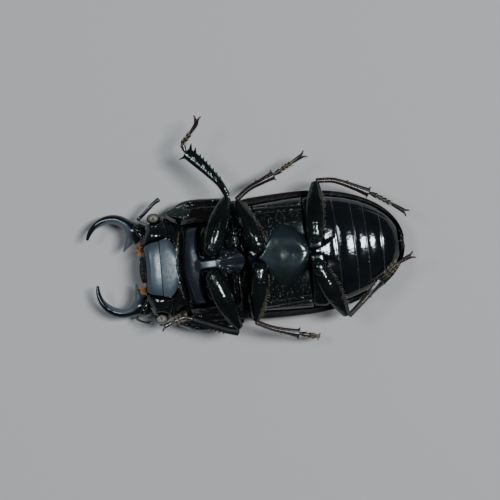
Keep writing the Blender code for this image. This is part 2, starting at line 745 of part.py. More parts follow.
# Points of each shin after the knee, and of each foot after the ankle.
SHINS = {
    "front_left": [(2.35, 7.75, 6.15), (1.25, 9.25, 5.95), (0.2, 10.4, 5.75), (-0.6, 11.15, 5.6)],
    "front_right": [(1.4, -6.95, 6.0), (0.1, -6.3, 5.85), (-1.0, -5.75, 5.7), (-1.8, -5.3, 5.55)],
    "middle_left": [(5.2, 7.0, 5.25), (6.4, 7.5, 4.9), (7.7, 8.0, 4.6)],
    "middle_right": [(5.7, -7.0, 5.25), (7.1, -7.5, 4.9), (8.35, -7.9, 4.6)],
    "hind_left": [(13.6, 6.75, 5.2), (15.4, 5.95, 5.05), (16.9, 5.15, 4.95)],
    "hind_right": [(14.8, -5.65, 5.25), (16.0, -4.6, 5.15), (17.0, -3.7, 5.25)],
}
FEET = {
    "front_left": [(-0.8, 12.1, 5.5), (-0.56, 12.42, 5.5), (-0.2, 12.8, 5.5), (0.3, 13.35, 5.55),
                   (0.72, 13.85, 5.7), (0.85, 14.25, 5.9)],
    "front_right": [(-2.65, -4.95, 5.45), (-3.1, -5.0, 5.4), (-3.55, -5.15, 5.3), (-4.0, -5.3, 5.25),
                    (-4.4, -5.45, 5.3), (-4.7, -5.55, 5.35)],
    "middle_left": [(8.6, 8.45, 4.5), (9.0, 8.68, 4.5), (9.4, 8.88, 4.45), (9.8, 9.08, 4.45),
                    (10.3, 9.33, 4.5), (10.75, 9.55, 4.6)],
    "middle_right": [(9.15, -8.15, 4.4), (9.5, -8.28, 4.15), (9.78, -8.38, 3.8), (10.0, -8.45, 3.4),
                     (10.2, -8.5, 2.95), (10.3, -8.55, 2.5)],
    "hind_left": [(17.8, 4.62, 4.95), (18.25, 4.3, 4.95), (18.7, 3.98, 4.95), (19.15, 3.65, 4.98),
                  (19.7, 3.25, 5.0), (20.15, 2.9, 5.05)],
    "hind_right": [(17.75, -3.05, 5.3), (18.15, -2.72, 5.3), (18.6, -2.4, 5.25), (19.05, -2.12, 5.2),
                   (19.65, -1.85, 5.2), (20.2, -1.65, 5.25)],
}
# How far the start of a shin lies from where the thigh points, where the leg is folded hard.
KNEE_SHIFTS = {
    "front_right": (-0.3, -0.32, -0.1),
    "hind_right": (0.28, -0.02, -0.05),
    "hind_left": (0.12, 0.02, 0.0),
}
FORE_SHIN_WIDTHS = (0.3, 0.36, 0.5, 0.62, 0.6)
SHIN_WIDTHS = (0.26, 0.27, 0.32, 0.42)
SHIN_HALF_HEIGHT = 0.28
THIGH_END = 0.2
KNEE_GAP = 0.4
SHIN_START = 0.15
SHIN_END = 0.12
FOOT_START = 0.08


def past_end(knots, reach):
    """The point beyond the last knot of a limb."""
    before = Vector(knots[-2][:3])
    last = Vector(knots[-1][:3])
    return last + (last - before).normalized() * reach


def shin_knots(leg):
    """A shin from the end of its thigh, a gap past it, to the ankle."""
    rest = SHINS[leg]
    knee = past_end(FEMURS[leg], THIGH_END + KNEE_GAP) + Vector(KNEE_SHIFTS.get(leg, (0, 0, 0)))
    start = knee + (Vector(rest[0]) - knee).normalized() * (0.5 * GAP + SHIN_START)
    widths = FORE_SHIN_WIDTHS if leg.startswith("front") else SHIN_WIDTHS
    return [(*p, wide, SHIN_HALF_HEIGHT) for p, wide in zip([tuple(start)] + rest, widths)]


def femur(leg, grow=0.0):
    thigh = sweep("femur_" + leg, FEMURS[leg], 6, 10, start=0.55, end=THIGH_END, square=0.9, grow=grow)
    return coloured(thigh, GLOSS_BLACK)


def spike(root, way, length, half_width, sides=5):
    """A cone with its root sunk by half its length."""
    way = Vector(way).normalized()
    side = way.cross(Vector((0, 0, 1))).normalized()
    up = side.cross(way)
    mesh = bmesh.new()
    base = Vector(root) - way * 0.5 * length
    turns = [math.tau * n / sides for n in range(sides)]
    foot = [mesh.verts.new(base + (side * math.cos(a) + up * math.sin(a)) * half_width * 1.5) for a in turns]
    tip = mesh.verts.new(Vector(root) + way * length)
    mesh.faces.new(foot)
    for n in range(sides):
        mesh.faces.new((foot[n], foot[(n + 1) % sides], tip))
    return finished(mesh, "spike")


def edge_spikes(knots, count, side, places):
    """Teeth on one edge of a shin; places holds share along it, length and half width of each."""
    rows = through(knots, count)
    teeth = []
    for share, length, half_width in places:
        n = min(int(share * (count - 1)), count - 2)
        t = share * (count - 1) - n
        row = [a + (b - a) * t for a, b in zip(rows[n], rows[n + 1])]
        along = (Vector(rows[n + 1][:3]) - Vector(rows[n][:3])).normalized()
        out = along.cross(Vector((0, 0, 1))).normalized() * side
        root = Vector(row[:3]) + out * (row[3] - 0.06)
        teeth.append(spike(root, out + along * 0.6, length, half_width))
    return teeth


def fore_teeth():
    """Small teeth that grow towards the ankle, then two long ones at it."""
    small = [(0.3 + 0.085 * n, 0.17 + 0.015 * n, 0.09) for n in range(6)]
    return small + [(0.86, 0.5, 0.14), (0.97, 0.62, 0.15)]


def tibia(leg):
    knots = shin_knots(leg)
    side = -1 if leg.endswith("right") else 1
    if leg.startswith("front"):
        shin = sweep("tibia_" + leg, knots, 7, 8, start=SHIN_START, end=SHIN_END)
        teeth = edge_spikes(knots, 24, side, fore_teeth())
        teeth += edge_spikes(knots, 24, -side, [(0.97, 0.5, 0.11)])
        return coloured(joined(shin, teeth, "UNION"), GLOSS_BLACK)
    shin = sweep("tibia_" + leg, knots, 6, 8, start=SHIN_START, end=SHIN_END)
    teeth = edge_spikes(knots, 24, -side, [(0.55, 0.22, 0.09), (0.97, 0.3, 0.1)])
    teeth += edge_spikes(knots, 24, side, [(0.97, 0.3, 0.1)])
    return coloured(joined(shin, teeth, "UNION"), BROWN_BLACK)


FOOT_JOINTS = (0.0, 0.14, 0.28, 0.42, 0.56)
FOOT_WAIST = 0.2
FOOT_BULGE = 0.28


def foot_rows(points):
    """Rings along a foot: four short beads and a long last joint."""
    shares = [0.0]
    for joint in FOOT_JOINTS[1:]:
        shares += [joint - 0.02, joint + 0.01]
    shares += [0.8, 1.0]
    rows = []
    for share in shares:
        place = through(points, 201)[round(share * 200)]
        start = max(j for j in FOOT_JOINTS if j <= share)
        later = [j for j in FOOT_JOINTS if j > share]
        end = later[0] if later else 1.0
        swell = ((share - start) / (end - start)) ** 1.5
        half = FOOT_WAIST + (FOOT_BULGE - FOOT_WAIST) * swell
        rows.append((*place, half, half))
    return rows


def tarsus(leg):
    """A foot of five joints with two hooked claws."""
    start = past_end(shin_knots(leg), SHIN_END + GAP + FOOT_START)
    points = [tuple(start)] + FEET[leg]
    rows = foot_rows(points)
    foot = sweep("tarsus_" + leg, rows, len(rows), 6, start=FOOT_START, end=0.1)
    along = (Vector(points[-1]) - Vector(points[-2])).normalized()
    side = along.cross(Vector((0, 0, 1))).normalized()
    root = Vector(points[-1])
    claws = []
    for way in (1, -1):
        bend = [root - along * 0.1 + side * 0.08 * way,
                root + along * 0.22 + side * 0.2 * way + Vector((0, 0, 0.08)),
                root + along * 0.5 + side * 0.34 * way - Vector((0, 0, 0.12))]
        claws.append(sweep("claw", [(*p, half, half) for p, half in zip(bend, (0.12, 0.1, 0.03))], 3, 5))
    return coloured(joined(foot, claws, "UNION"), BROWN_BLACK)


# Assembly

for old in list(bpy.data.objects):
    bpy.data.objects.remove(old)

COXAE = {"front": fore_coxa, "middle": middle_coxa, "hind": hind_coxa}
SIDES = {"left": 1, "right": -1}
LEGS = [row + "_" + side for row in COXAE for side in SIDES]


def limb_cutters(legs, with_coxae=True):
    """Legs and coxae, thickened by the gap, to cut their beds in a plate."""
    cutters = [femur(leg, GAP) for leg in legs]
    if with_coxae:
        cutters += [COXAE[leg.split("_")[0]]("cutter", SIDES[leg.split("_")[1]], GAP) for leg in legs]
    return cutters


for side, way in SIDES.items():
    joined(wing_case("elytron_" + side, way), [scutellum("cutter", GAP)], "DIFFERENCE")
scutellum("scutellum")
pronotum("pronotum")
joined(prosternum("prosternum"), limb_cutters(["front_left", "front_right"]), "DIFFERENCE")
mesosternum = plate("mesosternum", evenly(3.44, 5.15, 4), 13, GLOSS_BLACK)
joined(mesosternum, limb_cutters(["front_left", "front_right", "middle_left", "middle_right"]), "DIFFERENCE")
metasternum = plate("metasternum", evenly(5.45, 10.05, 8), 13, GLOSS_BLACK)
joined(metasternum, limb_cutters(["middle_left", "middle_right", "hind_left", "hind_right"]), "DIFFERENCE")
joined(abdomen("abdomen"), limb_cutters(["hind_left", "hind_right"]), "DIFFERENCE")

for leg in LEGS:
    row, side = leg.split("_")
    coxa = coloured(COXAE[row]("coxa_" + leg, SIDES[side]), GLOSS_BLACK)
    joined(coxa, [femur(leg, GAP)], "DIFFERENCE")
    femur(leg)
    tibia(leg)
    tarsus(leg)

skull = head("head")
cutters = [chin("cutter", GAP), throat("cutter", GAP + 0.2), tongue("cutter", GAP, 2, 3)]
for side, way in SIDES.items():
    cutters += [eye("cutter", way, GAP), brush_root("cutter", way, GAP), palp("cutter", way, GAP)]
for piece in [skull] + cutters:
    turned(piece, HEAD_YAW)
cutters += [placed_jaw("cutter", True, GAP), placed_jaw("cutter", False, GAP)]
cutters += [scape("left", GAP), scape("right", GAP)]
joined(skull, cutters, "DIFFERENCE", "MANIFOLD")
mouthparts = [chin("mentum"), throat("gula"), lip("labrum"), tongue("ligula")]
for side, way in SIDES.items():
    mouthparts += [eye("eye_" + side, way), brush("mouth_brush_" + side, way), palp("palp_" + side, way)]
    scape(side)
    club(side)
for piece in mouthparts:
    turned(piece, HEAD_YAW)
placed_jaw("mandible_left", True)
placed_jaw("mandible_right", False)
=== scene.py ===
import math
import random

import bmesh
import bpy
from mathutils import Matrix, Vector


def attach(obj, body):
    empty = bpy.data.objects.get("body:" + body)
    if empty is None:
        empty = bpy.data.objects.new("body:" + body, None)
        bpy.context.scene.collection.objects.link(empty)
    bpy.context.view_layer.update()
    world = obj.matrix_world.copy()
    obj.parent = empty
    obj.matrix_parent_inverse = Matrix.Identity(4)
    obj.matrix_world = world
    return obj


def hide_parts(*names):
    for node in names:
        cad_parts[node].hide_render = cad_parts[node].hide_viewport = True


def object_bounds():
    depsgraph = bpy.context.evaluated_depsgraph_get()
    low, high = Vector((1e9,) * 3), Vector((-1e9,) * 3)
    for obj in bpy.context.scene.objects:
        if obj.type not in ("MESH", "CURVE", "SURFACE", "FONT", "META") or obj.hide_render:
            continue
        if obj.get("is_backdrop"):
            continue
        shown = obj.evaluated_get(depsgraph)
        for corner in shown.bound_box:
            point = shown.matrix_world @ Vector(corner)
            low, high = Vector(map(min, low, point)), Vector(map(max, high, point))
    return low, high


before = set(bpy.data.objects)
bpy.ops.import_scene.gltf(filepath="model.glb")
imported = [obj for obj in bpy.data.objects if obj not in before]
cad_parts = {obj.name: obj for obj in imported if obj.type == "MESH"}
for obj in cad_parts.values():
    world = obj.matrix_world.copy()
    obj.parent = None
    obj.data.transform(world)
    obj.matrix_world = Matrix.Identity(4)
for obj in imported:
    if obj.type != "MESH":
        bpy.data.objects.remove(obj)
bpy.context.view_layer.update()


# Wing cases
# Two hard shells of black cuticle that cover the back, and that the beetle lies on here.
# Each is hinged at its front end, and they meet along the middle of the back.
MM = 0.001
SIDES = {"left": 1, "right": -1}
CASE_HALF_WIDTH = 6.2
CASE_WIDEST_X = 9.2
CASE_TIP_X = 20.0
CASE_FRONT_X = 3.4
CASE_RIM_Z = 3.4
CASE_OUTLINE_POWER = 2.1
CASE_WALL = 0.6
CASE_SEAM = 0.005
CASE_LIP_FRONT = 0.8
CASE_LIP_TIP = 0.35
DOME_POWER = 2.6
DOME_ROUND = 2.2
FLAT_SINK = 0.06
FURROWS = 9
FURROW_DEPTH = 0.008
GRAIN_SIZE = 0.05
DENT_SIZE = 0.5
SMEAR_SCALE = 900.0
PIT_SPACING = 1.6
PIT_EDGE = 0.32


def ease(value, low, high):
    """0 below low and 1 above high, smoothly."""
    t = min(max((value - low) / (high - low), 0.0), 1.0)
    return t * t * (3 - 2 * t)


def closing(count):
    """Shares from 0 to 1, closer together towards 1."""
    return [math.sin(0.5 * math.pi * n / (count - 1)) for n in range(count)]


def finished(shape, name):
    """An object from a bmesh in millimetres, smooth and with its faces turned out."""
    bmesh.ops.recalc_face_normals(shape, faces=shape.faces)
    mesh = bpy.data.meshes.new(name)
    shape.to_mesh(mesh)
    shape.free()
    mesh.transform(Matrix.Scale(MM, 4))
    mesh.shade_smooth()
    piece = bpy.data.objects.new(name, mesh)
    bpy.context.collection.objects.link(piece)
    return piece


def slab(name, top, bottom, edge=0.07):
    """A closed plate between two grids of points, with rounded edges."""
    shape = bmesh.new()
    upper = [[shape.verts.new(p) for p in row] for row in top]
    lower = [[shape.verts.new(p) for p in row] for row in bottom]
    rows = len(top)
    columns = len(top[0])
    for i in range(rows - 1):
        for k in range(columns - 1):
            shape.faces.new((upper[i][k], upper[i + 1][k], upper[i + 1][k + 1], upper[i][k + 1]))
            shape.faces.new((lower[i][k], lower[i][k + 1], lower[i + 1][k + 1], lower[i + 1][k]))
    for i in range(rows - 1):
        for k in (0, -1):
            shape.faces.new((upper[i][k], lower[i][k], lower[i + 1][k], upper[i + 1][k]))
    for k in range(columns - 1):
        for i in (0, -1):
            shape.faces.new((upper[i][k], upper[i][k + 1], lower[i][k + 1], lower[i][k]))
    piece = finished(shape, name)
    bevel = piece.modifiers.new("rounded edge", "BEVEL")
    bevel.width = edge * MM
    bevel.segments = 3
    bevel.limit_method = "ANGLE"
    bevel.angle_limit = math.radians(48)
    return piece


def marked(piece, name, read):
    """Keeps one number for each point of the piece, read from its place in millimetres."""
    layer = piece.data.attributes.new(name, "FLOAT", "POINT")
    layer.data.foreach_set("value", [read(*(v.co / MM)) for v in piece.data.vertices])


def feed(tree, node, **inputs):
    """Gives a node's inputs a value, a socket, or the first output of another node.

    An input goes by its name, with _ for each space, or by its number, as in at_0.
    """
    for name, value in inputs.items():
        socket = node.inputs[int(name[3:]) if name.startswith("at_") else name.replace("_", " ")]
        if isinstance(value, bpy.types.Node):
            value = value.outputs[0]
        if isinstance(value, bpy.types.NodeSocket):
            tree.links.new(value, socket)
        else:
            socket.default_value = value


def add(tree, kind, **values):
    """A new node; names with a capital letter and at_ names are inputs, the rest settings."""
    node = tree.nodes.new(kind)
    inputs = {}
    for name, value in values.items():
        if name[0].isupper() or name.startswith("at_"):
            inputs[name] = value
        else:
            setattr(node, name, value)
    feed(tree, node, **inputs)
    return node


def maths(tree, operation, *operands):
    inputs = {"at_" + str(n): operand for n, operand in enumerate(operands)}
    return add(tree, "ShaderNodeMath", operation=operation, **inputs)


def new_finish(name):
    """A material, its tree and its shader."""
    finish = bpy.data.materials.new(name)
    finish.use_nodes = True
    return finish, finish.node_tree, finish.node_tree.nodes["Principled BSDF"]


def two_colours(tree, share, dark, pale, low, high):
    """Two colours that run into each other where share goes from low to high."""
    colours = add(tree, "ShaderNodeValToRGB", Fac=share)
    for element, place, colour in zip(colours.color_ramp.elements, (low, high), (dark, pale)):
        element.position = place
        element.color = (*colour, 1.0)
    return colours


def cuticle(name, dark, pale, roughness, pit=0.16, pit_depth=0.006, grain=0.0015, dull="", coat=0.2,
            specular=0.6, cloud=420.0, waves=0.0, tint=(0.88, 0.97, 1.0), worn=None, dull_step=0.08):
    """Beetle cuticle: clouds of two near colours, round pits, a fine grain and a waxy gloss.

    dull names an attribute that is 0 where the cuticle shines and 1 where it is pitted and
    matt, or where it has the second colour given as worn. On some pieces that colour is the
    cuticle's own tone; on others it is painted light or shade: the jaws' highlight, the
    pronotum lobes' sheen, the eyes' pupils and shaded rims, and the metasternum's shaded rear.
    """
    finish, tree, shader = new_finish(name)
    place = add(tree, "ShaderNodeTexCoord").outputs["Object"]

    def noise(scale, detail):
        return add(tree, "ShaderNodeTexNoise", Vector=place, Scale=scale, Detail=detail)

    colour = two_colours(tree, noise(cloud, 4.0), dark, pale, 0.38, 0.66)
    pits = add(tree, "ShaderNodeTexVoronoi", Vector=place, Scale=1.0 / (pit * PIT_SPACING * MM),
               Randomness=0.85)
    depth = add(tree, "ShaderNodeMapRange", interpolation_type="SMOOTHSTEP", Value=pits, From_Max=PIT_EDGE,
                To_Min=-pit_depth, To_Max=0.0)
    fine = maths(tree, "MULTIPLY", noise(1.0 / (GRAIN_SIZE * MM), 3.0), grain)
    uneven = maths(tree, "MULTIPLY_ADD", noise(1.0 / (DENT_SIZE * MM), 2.0), waves, fine)
    matt = add(tree, "ShaderNodeMapRange", Value=noise(SMEAR_SCALE, 5.0), To_Min=roughness * 0.7,
               To_Max=roughness * 1.4)
    if dull:
        share = add(tree, "ShaderNodeAttribute", attribute_name=dull).outputs["Fac"]
        depth = maths(tree, "MULTIPLY", depth, share)
        matt = maths(tree, "MULTIPLY_ADD", share, dull_step, matt)
    if worn:
        both = add(tree, "ShaderNodeMix", data_type="RGBA", at_0=share, at_6=colour, at_7=(*worn, 1.0))
        colour = both.outputs[2]
    bump = add(tree, "ShaderNodeBump", Distance=MM, Height=maths(tree, "ADD", depth, uneven))
    feed(tree, shader, Base_Color=colour, Roughness=matt, Normal=bump, Specular_IOR_Level=specular,
         Specular_Tint=(*tint, 1.0), Coat_Weight=coat, Coat_Roughness=0.06)
    return finish


def fitted(piece, finish, slot, *nodes):
    """Gives the piece its finish and its place on the beetle, for the CAD nodes it stands for."""
    piece.data.materials.clear()
    piece.data.materials.append(finish)
    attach(piece, "root")
    if nodes:
        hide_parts(*nodes)
    return piece


def rise(r):
    """Height of the flattened dome at r from its middle, 0 there and 1 at its rim."""
    return 1.0 - max(1.0 - min(r, 1.0) ** DOME_POWER, 0.0) ** (1.0 / DOME_ROUND)


def case_half_width(x, inset=0.0):
    """Half the width over both wing cases at x, or of the like outline inset from their rim."""
    if x <= CASE_WIDEST_X:
        back = (CASE_WIDEST_X - x) / (CASE_WIDEST_X - CASE_FRONT_X)
        return CASE_HALF_WIDTH * (1.0 - 0.035 * back**2 - 0.06 * back**14) - inset
    t = min((x - CASE_WIDEST_X) / (CASE_TIP_X - inset - CASE_WIDEST_X), 1.0)
    return (CASE_HALF_WIDTH - inset) * (1.0 - t**CASE_OUTLINE_POWER) ** (1.0 / CASE_OUTLINE_POWER)


def lip_width(x):
    """Width of the wing case's turned-up edge at x."""
    t = (x - CASE_FRONT_X) / (CASE_TIP_X - CASE_FRONT_X)
    return CASE_LIP_FRONT + (CASE_LIP_TIP - CASE_LIP_FRONT) * t


def case_height(x, y, inset, base):
    """Height of a dome inside the wing cases, inset from their rim and raised off the floor."""
    if x > CASE_WIDEST_X:
        n = CASE_OUTLINE_POWER
        t = (x - CASE_WIDEST_X) / (CASE_TIP_X - inset - CASE_WIDEST_X)
        r = (t**n + (abs(y) / (CASE_HALF_WIDTH - inset)) ** n) ** (1.0 / n)
    else:
        r = abs(y) / case_half_width(x, inset)
    return max(base, base - FLAT_SINK + (CASE_RIM_Z - base + FLAT_SINK) * rise(r))


# How the lip curves, as shares of its width in from the rim and how deep it lies there.
LIP_SECTION = ((0.05, -0.09), (0.13, -0.12), (0.22, -0.08), (0.3, 0.03), (0.42, 0.12), (0.6, 0.16),
               (0.8, 0.22), (0.97, 0.34))


def wing_case(name, way, stations=84, columns=44):
    """One thin shell with a broad lip, from the seam down the back to its rim."""
    grids = []
    for base, tip in ((0.0, CASE_TIP_X), (CASE_WALL, CASE_TIP_X - CASE_LIP_TIP)):
        grid = []
        for share in closing(stations):
            x = CASE_FRONT_X + (tip - 0.02 - CASE_FRONT_X) * share
            inset = lip_width(x) if base else 0.0
            wide = case_half_width(x, inset)
            ys = [CASE_SEAM + (wide - CASE_SEAM) * across for across in closing(columns)]
            row = [(x, way * y, case_height(x, y, inset, base)) for y in ys]
            lip = lip_width(x) * min(wide / 1.5, 1.0)
            for back, drop in LIP_SECTION:
                if base:
                    row.append((x, way * wide, CASE_RIM_Z - 0.5 + 0.02 * back))
                else:
                    row.append((x, way * (wide - back * lip), CASE_RIM_Z - drop))
            grid.append(row)
        grids.append(grid)
    return slab(name, *grids, edge=0.03)


case_finish = cuticle("wing_case_black", (0.002, 0.0022, 0.0026), (0.005, 0.0045, 0.0045), 0.16, pit=0.15,
                      pit_depth=0.09, waves=0.02, dull="lip", worn=(0.016, 0.014, 0.0125), dull_step=0.14)
tree = case_finish.node_tree
bump = next(n for n in tree.nodes if n.bl_idname == "ShaderNodeBump")
across = add(tree, "ShaderNodeAttribute", attribute_name="across").outputs["Fac"]
wave = maths(tree, "COSINE", maths(tree, "MULTIPLY", across, math.tau * FURROWS))
relief = bump.inputs["Height"].links[0].from_socket
feed(tree, bump, Height=maths(tree, "MULTIPLY_ADD", wave, FURROW_DEPTH, relief))
for side, way in SIDES.items():
    case = wing_case("wing_case_" + side, way)
    marked(case, "across", lambda x, y, z: min(abs(y) / max(case_half_width(x), 0.2), 1.0))
    marked(case, "lip", lambda x, y, z: 0.12 + 0.88 * ease(z, CASE_RIM_Z - 0.3, CASE_RIM_Z - 0.16))
    fitted(case, case_finish, "gloss_cuticle", "elytron_" + side)


# Scutellum
# A small triangle of the same black cuticle as the wing cases. It is wedged between their
# roots on the back.
def evenly(first, last, count):
    return [first + (last - first) * n / (count - 1) for n in range(count)]


def plate(name, along, across, point, edge=0.07):
    """A slab whose point function gives x, y and both heights at v along and s across it."""
    grid = [[point(v, s) for s in across] for v in along]
    top = [[(x, y, high) for x, y, high, _ in row] for row in grid]
    bottom = [[(x, y, low) for x, y, _, low in row] for row in grid]
    return slab(name, top, bottom, edge)


def scutellum_point(v, s):
    wide = 0.75 * (1 - v**1.6) + 0.12
    return CASE_FRONT_X + 0.02 + 1.15 * v, wide * s, 0.6, 0.06 + 0.06 * s * s


triangle = plate("back_triangle", evenly(0, 1, 24), evenly(-1, 1, 17), scutellum_point, edge=0.05)
fitted(triangle, case_finish, "gloss_cuticle", "scutellum")


# Pronotum
# The shield of the front body, one ring of cuticle whose turned-in sides show here.
# Its sides are closely pitted and reddish black, and its rim is a smooth bead.
PRONOTUM_RIM_Z = 3.6
PRONOTUM_WALL = 0.7
PRONOTUM_REAR_X = 3.1
PRONOTUM_WIDTHS = [(0.0, 5.75), (0.08, 6.05), (0.25, 6.5), (0.45, 6.6), (0.7, 6.5), (1.0, 6.3)]
PRONOTUM_TIPS = [(0.0, 0.78), (0.3, 0.3), (0.5, 0.0), (0.75, 0.1), (1.0, 0.52)]
SEAM_HALF_WIDTH = 4.2
SEAM_Z = 5.2
LOBE_LENGTH = 1.0


def stops(rows, at):
    """Value at one place, read smoothly between rows of place and value."""
    if at <= rows[0][0]:
        return rows[0][1]
    if at >= rows[-1][0]:
        return rows[-1][1]
    last = len(rows) - 1
    i = max(k for k in range(last) if rows[k][0] <= at)
    width = rows[i + 1][0] - rows[i][0]
    t = (at - rows[i][0]) / width
    before = rows[max(i - 1, 0)]
    after = rows[min(i + 2, last)]
    slope_a = (rows[i + 1][1] - before[1]) / (rows[i + 1][0] - before[0]) * width
    slope_b = (after[1] - rows[i][1]) / (after[0] - rows[i][0]) * width
    return (rows[i][1] * (2 * t**3 - 3 * t**2 + 1) + slope_a * (t**3 - 2 * t**2 + t)
            + rows[i + 1][1] * (3 * t**2 - 2 * t**3) + slope_b * (t**3 - t**2))


def gauss(value, middle, width):
    return math.exp(-((value - middle) / width) ** 2)


def neck_x(y):
    """Where the prothorax meets the head, bowed forward in the middle."""
    return -2.75 + 0.95 * (min(abs(y), 5.0) / 5.0) ** 1.2


def shield_front_x(y):
    """Front edge of the pronotum, which runs forward in a lobe beside the head."""
    lobe = stops([(4.85, 0.0), (5.25, 1.0), (6.7, 1.0)], abs(y))
    return neck_x(y) * (1 - lobe) - 3.15 * lobe


def shield_height(v, s, inset):
    """Height of the pronotum's back at v along it and s across it."""
    tip = max(stops(PRONOTUM_TIPS, v), 0.0)
    low = (1.0 - abs(s) ** DOME_POWER) * (1.0 - tip**DOME_POWER)
    lift = 1.0 - max(low, 0.0) ** (1.0 / DOME_ROUND)
    return max(inset, inset - FLAT_SINK + (PRONOTUM_RIM_Z - inset + FLAT_SINK) * lift)


def lobe_share(x, y):
    """1 on the oval face at the front corner of the shield, painted greenish-grey as a sheen, 0 off it."""
    return 1 - ease(math.hypot((x + 2.05) / 1.25, (abs(y) - 5.4) / 0.72), 0.8, 1.0)


def lobe_relief(x, y):
    """The oval face stands up a little, with a fine ridge running back across it."""
    along = min(max((x + 2.4) / LOBE_LENGTH, 0.0), 1.0)
    off = math.hypot(x + 2.4 - along * LOBE_LENGTH, abs(y) - 5.42 - 0.62 * along)
    return 0.12 * lobe_share(x, y) + 0.1 * gauss(off, 0.0, 0.09)


def shield_section(v, inset, columns):
    """Points of the pronotum across the body, from one seam of the underside to the other."""
    wide = stops(PRONOTUM_WIDTHS, v) - inset
    left = []
    for share in evenly(0.0, 0.93, 36):
        fall = SEAM_Z - 0.9 * inset - PRONOTUM_RIM_Z
        z = PRONOTUM_RIM_Z + 0.2 - 0.3 * inset + fall * (1.0 - share) ** 1.3
        if not inset:
            z += 0.16 * gauss(share, 0.9, 0.09) - 0.12 * gauss(share, 0.72, 0.1)
        left.append((SEAM_HALF_WIDTH + (wide - SEAM_HALF_WIDTH) * share, z))
    left.append((wide - 0.02, PRONOTUM_RIM_Z + 0.12 - 0.08 * inset))
    half = [wide * share for share in reversed(closing(columns))]
    left += [(y, shield_height(v, y / wide, inset)) for y in half]
    return left + [(-y, z) for y, z in reversed(left[:-1])]


def pronotum_grid(inset, front, stations=110, columns=30):
    grid = []
    for v in evenly(0, 1, stations):
        section = shield_section(v, inset, columns)
        row = [(front(y) + (PRONOTUM_REAR_X - front(y)) * v, y, z) for y, z in section]
        if not inset:
            row = [(x, y, z + lobe_relief(x, y) * (z > PRONOTUM_RIM_Z)) for x, y, z in row]
        grid.append(row)
    return grid


# The oval face at each front corner gets the greenish-grey second colour, a painted sheen.
shield_finish = cuticle("pronotum_black", (0.002, 0.002, 0.002), (0.005, 0.003, 0.0025), 0.1, pit=0.16,
                        pit_depth=0.02, dull="lobe", waves=0.1, worn=(0.012, 0.018, 0.014), dull_step=0.08)
grids = (pronotum_grid(0.0, shield_front_x), pronotum_grid(PRONOTUM_WALL, neck_x))
shield = slab("front_shield", *grids, edge=0.1)
marked(shield, "lobe", lambda x, y, z: lobe_share(x, y) if z > 3.5 else 0.1)
fitted(shield, shield_finish, "gloss_cuticle", "pronotum")


# Prosternum
# The plate under the front body, of satin blue-black cuticle with a fine grain.
# Its process runs back as a keel between the sockets of the front legs.
SEAM_GAP = 0.3
PROSTERNUM_HALF_WIDTH = SEAM_HALF_WIDTH - SEAM_GAP - 0.05
KEEL_Z = 6.8
FORE_COXA = [(0.35, 1.0, 5.6, 0.75, 0.95), (0.4, 1.8, 5.55, 0.92, 1.05), (0.45, 2.7, 5.35, 0.9, 0.95),
             (0.5, 3.3, 5.15, 0.7, 0.75)]
MIDDLE_COXA = [(5.0, 1.05, 5.75, 0.7, 0.8), (4.9, 1.75, 5.6, 0.9, 0.95), (4.75, 2.6, 5.3, 0.7, 0.75)]
HIND_COXA = [(11.05, 0.45, 5.9, 0.74, 0.72), (11.05, 1.8, 5.82, 0.84, 0.78), (11.03, 3.4, 5.6, 0.84, 0.72),
             (11.0, 4.7, 5.14, 0.8, 0.58), (10.97, 5.1, 4.9, 0.74, 0.48)]
CHEST_REAR_X = 10.22


def spread(columns):
    """Places across the body from -1 to 1, closer together towards the edges."""
    return [math.sin(0.5 * math.pi * (2 * k / (columns - 1) - 1)) for k in range(columns)]


def through(knots, count):
    """Rows read along a smooth curve through the knots, whatever each row holds."""
    last = len(knots) - 1
    rows = []
    for n in range(count):
        place = n * last / (count - 1)
        i = min(int(place), last - 1)
        t = place - i
        four = (knots[max(i - 1, 0)], knots[i], knots[i + 1], knots[min(i + 2, last)])
        rows.append([
            0.5 * (2 * b + (c - a) * t + (2 * a - 5 * b + 4 * c - d) * t**2
                   + (3 * b - a - 3 * c + d) * t**3)
            for a, b, c, d in zip(*four)])
    return rows


def arch(s, power=2.3, root=1.7):
    """Height across a plate of the underside, 1 in the middle and 0 at its edges."""
    return max(1.0 - min(abs(s), 1.0) ** power, 0.0) ** (1.0 / root)


SOCKETS = [(through(FORE_COXA, 16), 0.32), (through(MIDDLE_COXA, 16), 0.3), (through(HIND_COXA, 16), 0.08)]


def socket_depth(x, y):
    """How deep the plates dip round the roots of the legs."""
    deepest = 0.0
    for rows, reach in SOCKETS:
        if abs(x - rows[0][0]) > 2.0 or x < CHEST_REAR_X < rows[0][0]:
            continue
        off = min(math.hypot(x - row[0], abs(y) - row[1]) - row[3] for row in rows)
        deepest = max(deepest, 1.0 - ease(off, 0.25 * reach, reach))
    return 1.3 * deepest


def front_belly_height(v, s, x, y):
    nose = stops([(0.0, 0.0), (0.15, 0.8), (0.35, 1.0), (0.8, 1.0), (1.0, 0.75)], v)
    crown = SEAM_Z + (KEEL_Z - SEAM_Z) * arch(s) * nose
    off = x - neck_x(y)
    collar = 0.08 * gauss(off, 0.36, 0.2) - 0.06 * gauss(off, 0.74, 0.12)
    keel = 0.34 - 0.1 * max(x + 0.4, 0.0) ** 2
    keel *= ease(x, -1.1, -0.3) * (1 - ease(abs(y), 0.36, 0.56)) * (1 - ease(x, 1.2, 1.8))
    crown -= 0.16 * max(x - 1.2, 0.0) * gauss(y, 0.0, 1.0)
    ridges = gauss(y, 0.0, 0.22) + gauss(abs(y), 0.4 + 0.3 * (x - 1.2), 0.2)
    free = ease(abs(y), 0.4, 0.62) if x < 1.9 else 1.0
    rear = -0.5 * ease(x, 1.5, 2.6) * ease(abs(y), 0.7, 1.4)
    return crown + collar + keel + 0.26 * ease(x, 1.0, 1.5) * ridges + rear - free * socket_depth(x, y)


